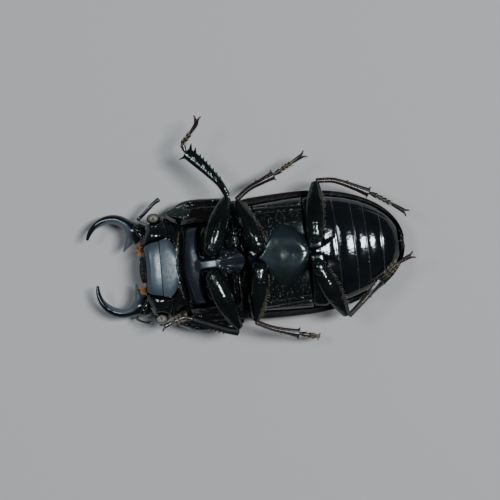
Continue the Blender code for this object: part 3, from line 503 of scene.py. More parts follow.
def prosternum_point(v, s):
    y = PROSTERNUM_HALF_WIDTH * s
    rear = PRONOTUM_REAR_X + 0.85 * gauss(y, 0.0, 1.0)
    x = neck_x(y) + (rear - neck_x(y)) * v
    low = PRONOTUM_WALL + SEAM_GAP + 0.1 + 0.9 * s * s + 0.7 * (1 - v) ** 2
    return x, y, front_belly_height(v, s, x, y), low if x < PRONOTUM_REAR_X else 5.9


def prosternum_gloss(x, y, z):
    """1 in the shining hollows beside the keel and behind it, and along the front edge."""
    hollow = 0.6 * ease(x, -0.7, -0.4) * ease(abs(y), 0.5, 0.7)
    rear = ease(x, 1.2, 1.7) * (0.3 + 0.7 * ease(abs(y), 0.8, 1.3))
    return max(hollow, rear, 1 - ease(x - neck_x(y), 0.6, 0.8))


satin_finish = cuticle("prosternum_satin", (0.009, 0.0115, 0.015), (0.017, 0.022, 0.029), 0.33, pit=0.14,
                       pit_depth=0.05, grain=0.003, dull="gloss", coat=0.03, waves=0.02,
                       worn=(0.0022, 0.0024, 0.0026), dull_step=-0.26)
breast = plate("prosternum_plate", evenly(0, 1, 72), spread(81), prosternum_point)
marked(breast, "gloss", prosternum_gloss)
fitted(breast, satin_finish, "satin_cuticle", "prosternum")


# Joint skins
# Folds of thin black skin that let the neck and the waist bend. They close the body under
# the edges of the plates.
def fold(name, front, rear, wide, top_z, floor_z):
    """A fold across the body, between a front and a rear edge given at each y."""
    def point(v, s):
        y = wide * s
        x = front(y) + (rear(y) - front(y)) * v
        high = 3.9 + (top_z - 3.9) * arch(s) - 0.2 * math.sin(math.pi * v)
        return x, y, high, floor_z + 1.2 * s**2

    return plate(name, evenly(0, 1, 9), spread(61), point)


skin_finish = cuticle("joint_skin", (0.001, 0.001, 0.001), (0.003, 0.002, 0.0016), 0.2, grain=0.004,
                      waves=0.08)
neck = fold("neck_skin", lambda y: neck_x(y) - 0.6, lambda y: neck_x(y) + 0.3, 4.9, 5.7, 1.6)
waist = fold("waist_skin", lambda y: 2.7, lambda y: 3.7, 6.0, 5.6, 1.1)
for skin in (neck, waist):
    fitted(skin, skin_finish, "gloss_cuticle")


# Belly plates of the middle body
# The mesosternum and the metasternum, hard shells over the roots of the wings and legs.
# The metasternum has a smooth shining shield in its middle and dull, closely pitted sides.
CORE_GAP = SEAM_GAP + 0.04
CORE_EDGE_GAP = 0.08
BELLY_SIDE_HEIGHTS = [(3.4, 4.3), (9.0, 4.5), (14.0, 4.1), (19.4, 3.75)]
BELLY_MIDDLE_HEIGHTS = [(3.4, 6.3), (5.0, 6.7), (8.0, 6.75), (10.2, 6.65), (12.0, 6.45), (14.0, 6.3),
                        (16.5, 5.85), (18.3, 5.15), (19.4, 4.2)]
CREST_PLACES = [(0.0, 9.9), (0.5, 9.8), (1.1, 9.45), (1.8, 8.8), (3.0, 7.9)]
SHIELD_HALF_WIDTHS = [(4.9, 0.1), (5.3, 0.25), (6.0, 0.95), (7.0, 2.2), (7.8, 2.85), (8.6, 2.6), (9.4, 1.9),
                      (10.0, 1.2), (10.4, 0.5), (10.8, 0.2)]


def core_side(x):
    """Half the width of what lies between the wing cases' lips."""
    return case_half_width(x, lip_width(x) + CORE_EDGE_GAP)


def belly_height(x, y):
    """Height of the underside over the wing cases' part of the body, before its plates."""
    side = stops(BELLY_SIDE_HEIGHTS, x)
    height = side + (stops(BELLY_MIDDLE_HEIGHTS, x) - side) * arch(y / max(core_side(x), 0.01))
    crest_x = stops(CREST_PLACES, abs(y))
    shield = ease(x, 5.0, crest_x) - 1.5 * ease(x, crest_x - 0.2, crest_x + 1.3)
    shield *= 1 - ease(abs(y), 0.7, 3.6)
    dimple = gauss(x, 8.4, 0.85) * gauss(y, 0.1, 0.85)
    front = -0.45 * (1 - ease(x, 3.3, 4.6)) - 0.5 * (1 - ease(x, 3.9, 4.4)) * gauss(y, 0.0, 1.5)
    return height + front + 0.3 * shield * (1 - ease(x, 11.0, 16.0)) - 0.12 * dimple


def core_floor(x, y):
    """Height of the inner body's lower side, a gap above the wing cases."""
    low = case_height(x, y, lip_width(x) + CORE_GAP, CASE_WALL + CORE_GAP)
    return min(low, CASE_RIM_Z - 0.05)


def belly_plate(name, places, columns, relief, edge=0.07):
    """A plate between the wing cases' lips, drawn back to a point behind the shield."""
    def point(place, s):
        y = core_side(place) * s
        drawn = 0.3 * gauss(y, 0.1, 0.55)
        x = place + drawn * ease(place, 8.6, CHEST_REAR_X) * (1 - ease(place, 10.3, 12.2))
        return x, y, belly_height(x, y) + relief(x, y), core_floor(x, y)

    return plate(name, places, spread(columns), point, edge)


def shield_edge(x, y):
    """Above 0 inside the metasternum's shining lozenge, below 0 outside it."""
    return stops(SHIELD_HALF_WIDTHS, x) - abs(y)


def middle_relief(x, y):
    """Middle line, raised shield, seams of the side plates, and sockets."""
    line = -0.05 * gauss(y, 0.0, 0.05) * ease(x, 8.8, 9.2) * (1 - ease(x, 9.9, 10.3))
    border = 0.07 * ease(shield_edge(x, y), -0.2, 0.1)
    seam_y = 4.55 - 0.05 * (x - 5.0)
    seams = -0.13 * gauss(abs(y), seam_y, 0.07) - 0.1 * gauss(abs(y), seam_y + 0.5, 0.06)
    free = ease(abs(y), 0.25, 0.4) if x > 8.0 else 1.0
    rear = -0.09 * ease(x, CHEST_REAR_X - 0.3, CHEST_REAR_X + 0.02) * ease(abs(y), 0.9, 1.6)
    return line + border + seams + rear - free * socket_depth(x, y)


def shield_dullness(x, y, z):
    """0 on the shining shield and 1 on the dull pitted sides; the shield is painted darker towards the rear
    of its right side, as shade.
    """
    soft = 0.15 + 1.3 * ease(-y, 0.2, 1.6) * ease(x, 7.0, 8.6)
    return ease(-shield_edge(x, y), -soft, 0.55)


# The green-blue clouds of the shield's colour are partly its own tone and partly a painted reflection; the
# pitted sides take the near-black second colour.
belly_finish = cuticle("belly_black", (0.005, 0.0095, 0.007), (0.011, 0.0148, 0.0225), 0.2, pit=0.17,
                       pit_depth=0.04, dull="pitted", waves=0.015, tint=(0.8, 1.0, 0.95), coat=0.4,
                       worn=(0.0022, 0.0022, 0.002), dull_step=0.0)
bridge = belly_plate("mesosternum_plate", evenly(3.44, 5.15, 22), 91, middle_relief)
marked(bridge, "pitted", lambda x, y, z: max(1 - ease(x, 4.2, 4.6), 0.3 + 0.7 * ease(abs(y), 1.0, 2.0)))
fitted(bridge, belly_finish, "gloss_cuticle", "mesosternum")
chest = belly_plate("metasternum_plate", evenly(5.3, CHEST_REAR_X, 66), 101, middle_relief)
marked(chest, "pitted", shield_dullness)
fitted(chest, belly_finish, "gloss_cuticle", "metasternum")


# Abdomen
# Five glossy rings of black cuticle that slide under each other, joined by soft skin at
# each seam. A triangle of the first one reaches forward between the hind legs.
SUTURES_X = (13.25, 14.97, 16.17, 17.66)
STEP_HEIGHT = 0.13
ABDOMEN_X = 10.35
ABDOMEN_REAR_X = CASE_TIP_X - CASE_LIP_TIP - CORE_GAP - 0.04
RING_EDGES = (ABDOMEN_X - 0.1,) + SUTURES_X + (CASE_TIP_X,)


def bowed(x, y):
    """The place of a point on its ring, because the seams bow forward at the sides."""
    return x + 0.035 * (y / 3.0) ** 2


def ring_relief(x, y):
    drop = 0.0
    for a, b in zip(RING_EDGES, RING_EDGES[1:]):
        if a <= bowed(x, y) < b:
            share = (bowed(x, y) - a) / (b - a)
            drop = STEP_HEIGHT * (1.0 - share) ** 0.7 if a > ABDOMEN_X else 0.0
            drop -= 0.045 * gauss(share, 0.95, 0.05)
            drop -= 0.12 * math.sin(math.pi * share) ** 0.8 * min(b - a, 1.8) / 1.8
    edge = 0.07 * gauss(abs(y), 0.84 * core_side(x), 0.09) * (1 - ease(x, 18.0, 18.8))
    inside = 0.5 * (x - 10.55) + 0.04 - abs(y)
    triangle = 0.14 * ease(inside, -0.06, 0.14) * (1 - ease(x, 12.1, 13.1))
    free = 1 - ease(inside, -0.06, 0.06)
    return -drop - edge + triangle - free * socket_depth(x, y)


def ring_places():
    """Stations along the abdomen, close together at each seam."""
    places = evenly(ABDOMEN_X - 0.05, SUTURES_X[0] - 0.06, 34)
    for a, b in zip(SUTURES_X, SUTURES_X[1:] + (ABDOMEN_REAR_X - 0.25,)):
        places += [a - 0.03, a, a + 0.03, a + 0.08]
        places += evenly(a + 0.14, b - 0.2, 11) + [b - 0.15, b - 0.1, b - 0.06]
    return places + [ABDOMEN_REAR_X - back for back in (0.2, 0.12, 0.06, 0.02, 0.0)]


def ring_dullness(x, y, z):
    """A little towards the pitted sides, and 1 on the soft skin in the seams."""
    sides = 0.03 + 0.1 * ease(abs(y) / max(core_side(x), 0.3), 0.62, 0.86)
    return max(sides, *(gauss(bowed(x, y), suture - 0.02, 0.06) for suture in SUTURES_X))


ring_finish = cuticle("abdomen_black", (0.0018, 0.0022, 0.003), (0.0045, 0.005, 0.006), 0.09, pit=0.12,
                      pit_depth=0.04, dull="pitted", waves=0.02, tint=(0.9, 0.96, 1.0),
                      worn=(0.017, 0.018, 0.019), dull_step=0.2)
rings = belly_plate("abdomen_rings", ring_places(), 101, ring_relief, edge=0.05)
marked(rings, "pitted", ring_dullness)
fitted(rings, ring_finish, "gloss_cuticle", "abdomen")


# Leg roots
# Six egg-shaped coxae of black cuticle, the hind pair flat and broad. They roll in the
# sockets of the belly plates.
UP = Vector((0, 0, 1))
CAP_ANGLES = [math.radians(a) for a in (8, 18, 30, 42, 54, 66, 78)]
THINNEST = 0.015


def sweep_shape(shape, knots, count, sides, start, end, square=1.0, ripple=0, ripple_depth=0.0):
    """Adds a limb along knots of x, y, z, half width and half height, with rounded ends.

    square below 1 flattens its sides, and ripple counts the ridges that run along it.
    """
    rows = through(knots, count)
    points = [Vector(row[:3]) for row in rows]
    hoops = []
    for n, row in enumerate(rows):
        along = (points[min(n + 1, count - 1)] - points[max(n - 1, 0)]).normalized()
        hoops.append((points[n], along, max(row[3], THINNEST), max(row[4], THINNEST)))

    def cap(hoop, reach):
        """The hoops that close one end, from the limb to its pole."""
        centre, along, wide, high = hoop
        return [(centre + along * reach * math.sin(a), along, wide * math.cos(a), high * math.cos(a))
                for a in CAP_ANGLES]

    def rounded(value):
        return math.copysign(abs(value) ** square, value)

    poles = [hoops[0][0] - hoops[0][1] * start, hoops[-1][0] + hoops[-1][1] * end]
    loops = []
    for centre, along, wide, high in cap(hoops[0], -start)[::-1] + hoops + cap(hoops[-1], end):
        side = along.cross(UP).normalized()
        over = side.cross(along)
        loop = []
        for s in range(sides):
            a = math.tau * (s + 0.5) / sides
            swell = 1.0 + ripple_depth * math.cos(ripple * a)
            off = side * rounded(math.cos(a)) * wide + over * rounded(math.sin(a)) * high
            loop.append(shape.verts.new(centre + off * swell))
        loops.append(loop)
    for a, b in zip(loops, loops[1:]):
        for s in range(sides):
            t = (s + 1) % sides
            shape.faces.new((a[s], a[t], b[t], b[s]))
    for loop, pole in zip((loops[0], loops[-1]), poles):
        tip = shape.verts.new(pole)
        for s in range(sides):
            shape.faces.new((loop[s], loop[(s + 1) % sides], tip))


def sweep(name, knots, count, sides, start, end, square=1.0):
    shape = bmesh.new()
    sweep_shape(shape, knots, count, sides, start, end, square)
    return finished(shape, name)


leg_finish = cuticle("leg_black", (0.002, 0.0024, 0.0026), (0.005, 0.006, 0.0055), 0.09, pit=0.26,
                     pit_depth=0.13, waves=0.06, tint=(0.85, 1.0, 0.95), dull="wrinkled", dull_step=0.09)
for row, coxa, start, end in (("front", FORE_COXA, 0.35, 0.3), ("middle", MIDDLE_COXA, 0.3, 0.35),
                              ("hind", HIND_COXA, 0.25, 0.25)):
    square, finish = (0.5, belly_finish) if row == "hind" else (1.0, leg_finish)
    for side, way in SIDES.items():
        knots = [(x, way * y, z, wide, high) for x, y, z, wide, high in coxa]
        piece = sweep("leg_root_" + row + "_" + side, knots, 22, 40, start, end, square)
        if row == "hind":
            marked(piece, "pitted", lambda x, y, z: ease(abs(y), 0.8, 1.6))
        else:
            marked(piece, "wrinkled", lambda x, y, z: 0.5)
        fitted(piece, finish, "gloss_cuticle", "coxa_" + row + "_" + side)


# Thighs
# Six stout femora of smooth black cuticle, thickest near their middle. Each is hinged in
# its coxa and tapers to the knee.
FEMURS = {
    "front_left": [(0.78, 1.35, 7.18, 0.74, 0.62), (1.2, 2.4, 7.1, 0.98, 0.74), (1.85, 4.0, 6.8, 0.98, 0.72),
                   (2.42, 5.3, 6.48, 0.72, 0.58), (2.86, 6.2, 6.24, 0.4, 0.4)],
    "front_right": [(0.62, -1.15, 7.14, 0.74, 0.62), (1.0, -2.3, 7.1, 0.94, 0.74),
                    (1.55, -3.9, 6.98, 0.98, 0.72), (2.1, -5.4, 6.6, 0.72, 0.58),
                    (2.55, -6.5, 6.3, 0.4, 0.4)],
    "middle_left": [(5.32, 1.15, 7.1, 0.62, 0.55), (5.1, 2.1, 7.1, 0.82, 0.64), (4.6, 3.6, 6.7, 0.85, 0.62),
                    (4.15, 4.9, 6.2, 0.64, 0.5), (3.88, 5.75, 5.8, 0.38, 0.36)],
    "middle_right": [(5.3, -1.05, 7.1, 0.62, 0.55), (5.15, -2.1, 7.1, 0.82, 0.64),
                     (4.85, -3.6, 6.7, 0.85, 0.62), (4.5, -5.0, 6.2, 0.64, 0.5),
                     (4.3, -5.95, 5.8, 0.38, 0.36)],
    "hind_left": [(11.12, 1.4, 7.15, 0.6, 0.52), (11.2, 2.5, 7.1, 0.82, 0.62), (11.4, 4.2, 6.6, 0.88, 0.6),
                  (11.6, 5.7, 5.95, 0.66, 0.5), (11.74, 6.65, 5.5, 0.4, 0.36)],
    "hind_right": [(11.05, -1.35, 7.15, 0.6, 0.52), (11.4, -2.4, 7.1, 0.82, 0.62),
                   (12.1, -4.1, 6.84, 0.88, 0.6), (12.8, -5.6, 6.1, 0.66, 0.5), (13.2, -6.5, 5.5, 0.4, 0.36)],
}
KNUCKLE_TURNS = {"front": 0.15, "middle": -0.3, "hind": 0.1}
for leg, knots in FEMURS.items():
    shape = bmesh.new()
    sweep_shape(shape, knots, 44, 40, 0.55, 0.2, ripple=4, ripple_depth=0.05)
    x, y, z, _, _ = knots[0]
    way = SIDES[leg.split("_")[1]]
    knuckle = [(x - 0.1, y - 0.35 * way, z - 0.12, 0.5, 0.45), (x, y + 0.1 * way, z, 0.8, 0.62),
               (x + KNUCKLE_TURNS[leg.split("_")[0]], y + 0.75 * way, z + 0.02, 0.62, 0.6)]
    sweep_shape(shape, knuckle, 24, 32, 0.3, 0.35)
    thigh = finished(shape, "thigh_" + leg)
    marked(thigh, "wrinkled", lambda x, y, z: 0.12 + 0.88 * (1 - ease(abs(y), 1.7, 2.9)))
    fitted(thigh, leg_finish, "gloss_cuticle", "femur_" + leg)


# Shins
# Six tibiae, hinged at the knee. The front pair are black, broad and toothed for digging;
# the others are slim, reddish brown, ridged along their length and end in two spurs.
SHINS = {
    "front_left": [(2.38, 7.8, 6.15), (1.3, 9.2, 5.95), (0.28, 10.38, 5.75), (-0.52, 11.18, 5.6)],
    "front_right": [(1.4, -6.66, 6.0), (0.1, -6.1, 5.85), (-1.0, -5.62, 5.7), (-1.8, -5.25, 5.55)],
    "middle_left": [(5.2, 7.0, 5.25), (6.4, 7.5, 4.9), (7.7, 8.0, 4.6)],
    "middle_right": [(5.7, -7.0, 5.25), (7.1, -7.5, 4.9), (8.35, -7.9, 4.6)],
    "hind_left": [(13.6, 6.75, 5.2), (15.4, 5.95, 5.05), (16.9, 5.15, 4.95)],
    "hind_right": [(14.8, -5.65, 5.25), (16.0, -4.6, 5.15), (17.0, -3.7, 5.25)],
}
KNEE_GAP = 0.3
KNEE_SHIFTS = {"front_right": (-0.18, -0.192, -0.06), "hind_right": (0.168, -0.012, -0.03),
               "hind_left": (0.072, 0.012, 0.0)}
SHIN_WIDTHS = (0.26, 0.27, 0.32, 0.42)
FORE_SHIN_WIDTHS = {"front_left": (0.3, 0.36, 0.48, 0.57, 0.55), "front_right": (0.4, 0.36, 0.38, 0.42, 0.38)}
SHIN_HALF_HEIGHT = 0.28
SHIN_TEETH = [(0.3 + 0.07 * n, 0.24 + 0.02 * n, 0.1) for n in range(7)]
SHIN_TEETH += [(0.84, 0.55, 0.15), (0.96, 0.66, 0.16)]


def past_end(knots, reach):
    """The point beyond the last knot of a limb."""
    before = Vector(knots[-2][:3])
    last = Vector(knots[-1][:3])
    return last + (last - before).normalized() * reach


def limb_at(rows, n):
    """Place of one row of a limb, the way along it there and the level way across it."""
    at = Vector(rows[n][:3])
    along = (Vector(rows[n + 1][:3]) - at).normalized()
    return at, along, along.cross(UP).normalized()


def shin_knots(leg):
    """A shin from the end of its thigh, a gap past it, to the ankle."""
    rest = SHINS[leg]
    knee = past_end(FEMURS[leg], KNEE_GAP) + Vector(KNEE_SHIFTS.get(leg, (0, 0, 0)))
    start = knee + (Vector(rest[0]) - knee).normalized() * 0.1
    widths = FORE_SHIN_WIDTHS.get(leg, SHIN_WIDTHS)
    return [(*p, wide, SHIN_HALF_HEIGHT) for p, wide in zip([tuple(start)] + rest, widths)]


def edge_teeth(shape, knots, side, places):
    """Adds teeth on one edge of a shin; places holds share along it, length and half width.

    Each tooth has a broad sunk foot and a rounded, slightly hooked tip.
    """
    rows = through(knots, 101)
    for share, length, half_width in places:
        n = min(int(share * 100), 99)
        at, along, across = limb_at(rows, n)
        out = across * side
        root = at + out * (rows[n][3] - 0.06)
        way = (out + along * 0.6).normalized()
        tip = root + way * length - UP * 0.1 * length
        tooth = [(*(root - way * 0.4 * length), half_width * 1.5, half_width * 1.3),
                 (*root, half_width * 1.1, half_width),
                 (*(root + way * 0.6 * length), half_width * 0.62, half_width * 0.6),
                 (*tip, 0.02, 0.02)]
        sweep_shape(shape, tooth, 10, 12, 0.01, 0.02)


brown_finish = cuticle("shin_brown", (0.010, 0.006, 0.005), (0.030, 0.013, 0.008), 0.26, pit=0.12,
                       pit_depth=0.02)
# A dull copy of the black leg cuticle, with gloss and coat turned down, for the folded front-right shin:
# painted shade.
shaded_shin_finish = cuticle("shaded_fore_shin", (0.003, 0.0026, 0.0026), (0.009, 0.006, 0.005), 0.36, pit=0.2,
                       pit_depth=0.06, coat=0.0, specular=0.25)
for leg in SHINS:
    knots = shin_knots(leg)
    side = SIDES[leg.split("_")[1]]
    shape = bmesh.new()
    if leg.startswith("front"):
        sweep_shape(shape, knots, 44, 36, 0.15, 0.12, ripple=6, ripple_depth=0.035)
        edge_teeth(shape, knots, side, SHIN_TEETH)
        edge_teeth(shape, knots, -side, [(0.97, 0.55, 0.12)])
        # The folded front-right shin takes the dull copy, as painted shade.
        finish, slot = shaded_shin_finish if leg == "front_right" else leg_finish, "gloss_cuticle"
    else:
        sweep_shape(shape, knots, 40, 32, 0.15, 0.12, ripple=5, ripple_depth=0.06)
        edge_teeth(shape, knots, -side, [(0.55, 0.22, 0.09), (0.97, 0.3, 0.1)])
        edge_teeth(shape, knots, side, [(0.97, 0.3, 0.1)])
        finish, slot = brown_finish, "brown_cuticle"
    shin = finished(shape, "shin_" + leg)
    if finish == leg_finish:
        marked(shin, "wrinkled", lambda x, y, z: 0.02)
    fitted(shin, finish, slot, "tibia_" + leg)


# Feet
# Six tarsi of five joints: four short beads and a long last one, which carries two hooked
# claws. They are dark brown cuticle.
FEET = {
    "front_left": [(-0.8, 12.1, 5.5), (-0.56, 12.42, 5.5), (-0.2, 12.8, 5.5), (0.3, 13.35, 5.55),
                   (0.72, 13.85, 5.7), (0.85, 14.25, 5.9)],
    "front_right": [(-2.65, -4.95, 5.45), (-3.1, -5.0, 5.4), (-3.55, -5.15, 5.3), (-4.0, -5.3, 5.25),
                    (-4.4, -5.45, 5.3), (-4.7, -5.55, 5.35)],
    "middle_left": [(8.6, 8.45, 4.5), (9.0, 8.68, 4.5), (9.4, 8.88, 4.45), (9.8, 9.08, 4.45),
                    (10.3, 9.33, 4.5), (10.75, 9.55, 4.6)],
    "middle_right": [(9.15, -8.15, 4.4), (9.5, -8.28, 4.15), (9.78, -8.38, 3.8), (10.0, -8.45, 3.4),
                     (10.2, -8.5, 2.95), (10.3, -8.55, 2.5)],
    "hind_left": [(17.8, 4.62, 4.95), (18.25, 4.3, 4.95), (18.7, 3.98, 4.95), (19.15, 3.65, 4.98),
                  (19.7, 3.25, 5.0), (20.15, 2.9, 5.05)],
    "hind_right": [(17.75, -3.05, 5.3), (18.15, -2.72, 5.3), (18.6, -2.4, 5.25), (19.05, -2.12, 5.2),
                   (19.65, -1.85, 5.2), (20.2, -1.65, 5.25)],
}
FOOT_JOINTS = (0.0, 0.14, 0.28, 0.42, 0.56, 1.0)
FOOT_ROWS = 90
# A claw as steps along, across and up from the end of the foot, with its half width.
CLAW = ((-0.1, 0.08, 0.0, 0.12), (0.22, 0.2, 0.08, 0.1), (0.42, 0.33, 0.0, 0.06), (0.5, 0.34, -0.12, 0.02))


def foot_points(leg):
    return [tuple(past_end(shin_knots(leg), 0.15))] + FEET[leg]


def foot_rows(points):
    """Rows along a foot, narrow at the root of each joint and swollen at its end."""
    rows = []
    for n, place in enumerate(through(points, FOOT_ROWS)):
        share = n / (FOOT_ROWS - 1)
        i = max(k for k in range(5) if FOOT_JOINTS[k] <= share)
        t = (share - FOOT_JOINTS[i]) / (FOOT_JOINTS[i + 1] - FOOT_JOINTS[i])
        half = 0.13 + 0.16 * t**0.8 if i < 4 else 0.13 + 0.12 * t**0.6
        rows.append((*place, half, half * 0.9))
    return rows


for leg in FEET:
    points = foot_points(leg)
    shape = bmesh.new()
    sweep_shape(shape, foot_rows(points), FOOT_ROWS, 20, 0.08, 0.1)
    _, along, across = limb_at(points, len(points) - 2)
    root = Vector(points[-1])
    for way in (1, -1):
        claw = [(*(root + along * on + across * off * way + UP * lift), half, half)
                for on, off, lift, half in CLAW]
        sweep_shape(shape, claw, 20, 14, 0.02, 0.02)
    fitted(finished(shape, "foot_" + leg), brown_finish, "brown_cuticle", "tarsus_" + leg)


# Head
# One broad capsule of glossy black cuticle, pitted at its sides, with a smooth boss on each
# side of the chin plates. It is turned a little to the beetle's right.
HEAD_YAW = math.radians(-2.0)
HEAD_FRONT_X = -6.1
HEAD_SIDE_Z = 3.3
HEAD_WIDTHS = [(0.0, 4.5), (0.12, 4.95), (0.3, 5.2), (0.5, 5.05), (0.75, 4.5), (1.0, 4.25)]
CHIN_WIDTHS = [(0.0, 2.2), (0.2, 2.42), (0.6, 2.6), (1.0, 2.72)]
CHIN_FRONT_X = -5.83
THROAT_WIDTHS = [(0.0, 2.78), (0.35, 2.85), (0.7, 2.35), (1.0, 1.55)]
EYE_AT = (-4.85, 5.02, 3.8)


def turned(piece):
    """The piece turned with the head."""
    piece.data.transform(Matrix.Rotation(HEAD_YAW, 4, "Z"))
    return piece


def head_rear_x(y):
    return neck_x(y) - 0.24


def boss(x, y):
    """1 on the smooth boss at each side of the chin."""
    return gauss(x, -4.85, 0.9) * gauss(abs(y), 3.55, 0.7)


def plate_bed(x, y):
    """How deep the head dips under the chin and throat plates, with a seam round them."""
    chin = (x - CHIN_FRONT_X) / 1.3
    throat = (x + 4.23) / (head_rear_x(y) + 4.23)
    inside = -1.0
    if -0.4 < chin <= 1.1:
        inside = stops(CHIN_WIDTHS, chin) - abs(y) + min(x + 5.95, 0.0)
    if throat > -0.1:
        inside = max(inside, stops(THROAT_WIDTHS, throat) - abs(y))
    return 0.8 * ease(inside, -0.34, -0.06)


def eye_bed(x, y):
    off = math.hypot((x - EYE_AT[0]) / 0.74, (abs(y) - EYE_AT[1]) / 0.56)
    return 0.95 * (1 - ease(off, 0.95, 1.3)) - 0.12 * gauss(off, 1.45, 0.15)


def head_top(x, y, s):
    """Underside of the head, with its bosses, the beds of plates and eyes, and creases."""
    crown = HEAD_SIDE_Z + 0.5 + 1.9 * arch(s, 3.0, 1.5) + 0.35 * boss(x, y)
    nose = 0.7 * max(-5.2 - x, 0.0) ** 1.5
    crease = 0.12 * gauss(x, -3.3, 0.16) * ease(abs(y), 2.9, 3.5)
    cheek = 0.14 * gauss(x + 0.25 * abs(y), -2.55, 0.1) * ease(abs(y), 2.8, 3.3)
    return crown - nose - crease - cheek - plate_bed(x, y) - eye_bed(x, y)


def head_point(v, s):
    y = stops(HEAD_WIDTHS, v) * s
    x = HEAD_FRONT_X + (head_rear_x(y) - HEAD_FRONT_X) * v
    x += 0.55 * arch(1 - abs(s), 2.0, 1.0) * (1 - v) * abs(s) ** 6
    forehead = stops([(0.0, 0.6), (0.3, 0.2), (0.6, 0.0), (1.0, -0.05)], v)
    return x, y, head_top(x, y, s), HEAD_SIDE_Z - 0.5 - (1.7 - forehead) * arch(s, 3.0, 1.6)


def head_dullness(x, y, z):
    sides = ease(abs(y), 4.1, 4.8) * ease(x, -5.2, -4.6)
    return max(sides, ease(x, -3.3, -2.8)) * 0.5 * (1 - boss(x, y))


head_finish = cuticle("head_black", (0.0022, 0.0026, 0.003), (0.006, 0.0065, 0.007), 0.11, pit=0.15,
                      pit_depth=0.045, dull="pitted", waves=0.05)
skull = plate("head_capsule", evenly(0, 1, 80), spread(131), head_point, edge=0.12)
marked(skull, "pitted", head_dullness)
fitted(turned(skull), head_finish, "gloss_cuticle", "head")


# Chin and throat
# The mentum and the gula, two plates of satin blue-black cuticle with a fine leathery
# grain, set in the underside of the head with a seam round each. Their colour is partly
# their own blue-black and partly a painted blue-grey reflection of the sky.
CHIN_REAR_X = -4.42
THROAT_FRONT_X = -4.35


def chin_point(v, s):
    front = CHIN_FRONT_X - 0.16 * s * s
    crown = 5.72 + 0.16 * arch(s) + 0.1 * math.sin(math.pi * v)
    crown -= 0.35 * stops([(0.0, 1.0), (0.2, 0.15), (0.4, 0.0), (1.0, 0.0)], v) + 0.3 * abs(s) ** 4
    return front + (CHIN_REAR_X - front) * v, stops(CHIN_WIDTHS, v) * s, crown, 4.7


def throat_point(v, s):
    y = stops(THROAT_WIDTHS, v) * s
    x = THROAT_FRONT_X + (head_rear_x(y) + 0.02 - THROAT_FRONT_X) * v
    return x, y, 5.9 + 0.18 * arch(s) - 0.1 * v**1.8 - 0.27 * abs(s) ** 4, 4.95


# The pale blue-grey of these colours is partly a painted sky reflection on the satin surface.
chin_finish = cuticle("chin_satin", (0.029, 0.040, 0.052), (0.060, 0.079, 0.100), 0.34, pit=0.1,
                      pit_depth=0.006, grain=0.005, coat=0.05, waves=0.02)
for name, point, node in (("chin_plate", chin_point, "mentum"), ("throat_plate", throat_point, "gula")):
    piece = plate(name, evenly(0, 1, 40), spread(61), point)
    fitted(turned(piece), chin_finish, "satin_cuticle", node)


# Eyes
# Two domes of close six-sided lenses, smoky brown under a clear skin. They are set in the
# sides of the head.
EYE_RADII = (0.68, 0.5, 0.72)


def eye_darkness(x, y, z):
    """1 on a painted dark pupil in the middle of the lenses and on painted shade round the edge of the dome.
    """
    off_x = x - EYE_AT[0]
    off_y = abs(y) - EYE_AT[1]
    pupil = 1 - ease(math.hypot(off_x, off_y + 0.05), 0.1, 0.2)
    return max(pupil, ease(math.hypot(off_x / EYE_RADII[0], off_y / EYE_RADII[1]), 0.68, 0.85))


# The dark second colour paints the pupil and the shade at the dome's edge.
eye_finish = cuticle("eye_lenses", (0.10, 0.085, 0.062), (0.20, 0.175, 0.135), 0.4, pit=0.05, pit_depth=0.008,
                     coat=0.1, cloud=900.0, dull="pupil", worn=(0.004, 0.0035, 0.003), dull_step=0.0)
for side, way in SIDES.items():
    shape = bmesh.new()
    bmesh.ops.create_uvsphere(shape, u_segments=96, v_segments=64, radius=1.0)
    for vert in shape.verts:
        vert.co.z -= 0.1 * gauss(math.hypot(vert.co.x, vert.co.y), 0.0, 0.3) * (vert.co.z > 0)
    at = Matrix.Translation((EYE_AT[0], way * EYE_AT[1], EYE_AT[2]))
    bmesh.ops.transform(shape, verts=shape.verts, matrix=at @ Matrix.Diagonal((*EYE_RADII, 1.0)))
    lens = finished(shape, "eye_dome_" + side)
    marked(lens, "pupil", eye_darkness)
    fitted(turned(lens), eye_finish, "eye", "eye_" + side)


# Jaws
# Two long sickles of black cuticle, thick at the root and flattened to a point, each with
# one tooth on its inner side. They are worn smooth outside and satin inside, where a pale
# steel-blue highlight is painted on.
JAW_ARC_CENTRE = (-2.85, -0.73)
JAW_ARC_RADIUS = 2.8
# The blade along its arc: angle in degrees, radius of its inner side and half height.
JAW_ARC = ((168, 2.52, 0.14), (152, 2.34, 0.24), (132, 2.18, 0.36), (110, 1.98, 0.47), (88, 1.86, 0.58),
           (68, 1.8, 0.7))
JAW_ROOT = [(-1.25, 0.84, -0.05, 0.62, 0.8), (-0.72, 0.22, 0.0, 0.98, 0.98), (-0.1, -0.26, 0.0, 1.15, 1.0)]
JAW_TOOTH = [(-0.95, 0.2, 0.1, 0.64, 0.7), (-1.12, -0.55, 0.1, 0.48, 0.56), (-1.5, -1.15, 0.08, 0.28, 0.36),
             (-1.93, -1.76, 0.05, 0.08, 0.1)]
JAW_INNER = sorted((degrees, inner) for degrees, inner, _ in JAW_ARC)
JAW_GRAIN = 0.045
JAW_TURN = Matrix.Rotation(math.radians(-28.5), 4, "Z")
JAW_PLACES = {
    "left": Matrix.Translation(Vector((-6.15, 4.03, 2.75)) * MM),
    "right": Matrix.Translation(Vector((-6.39, -3.60, 2.75)) * MM) @ JAW_TURN,
}


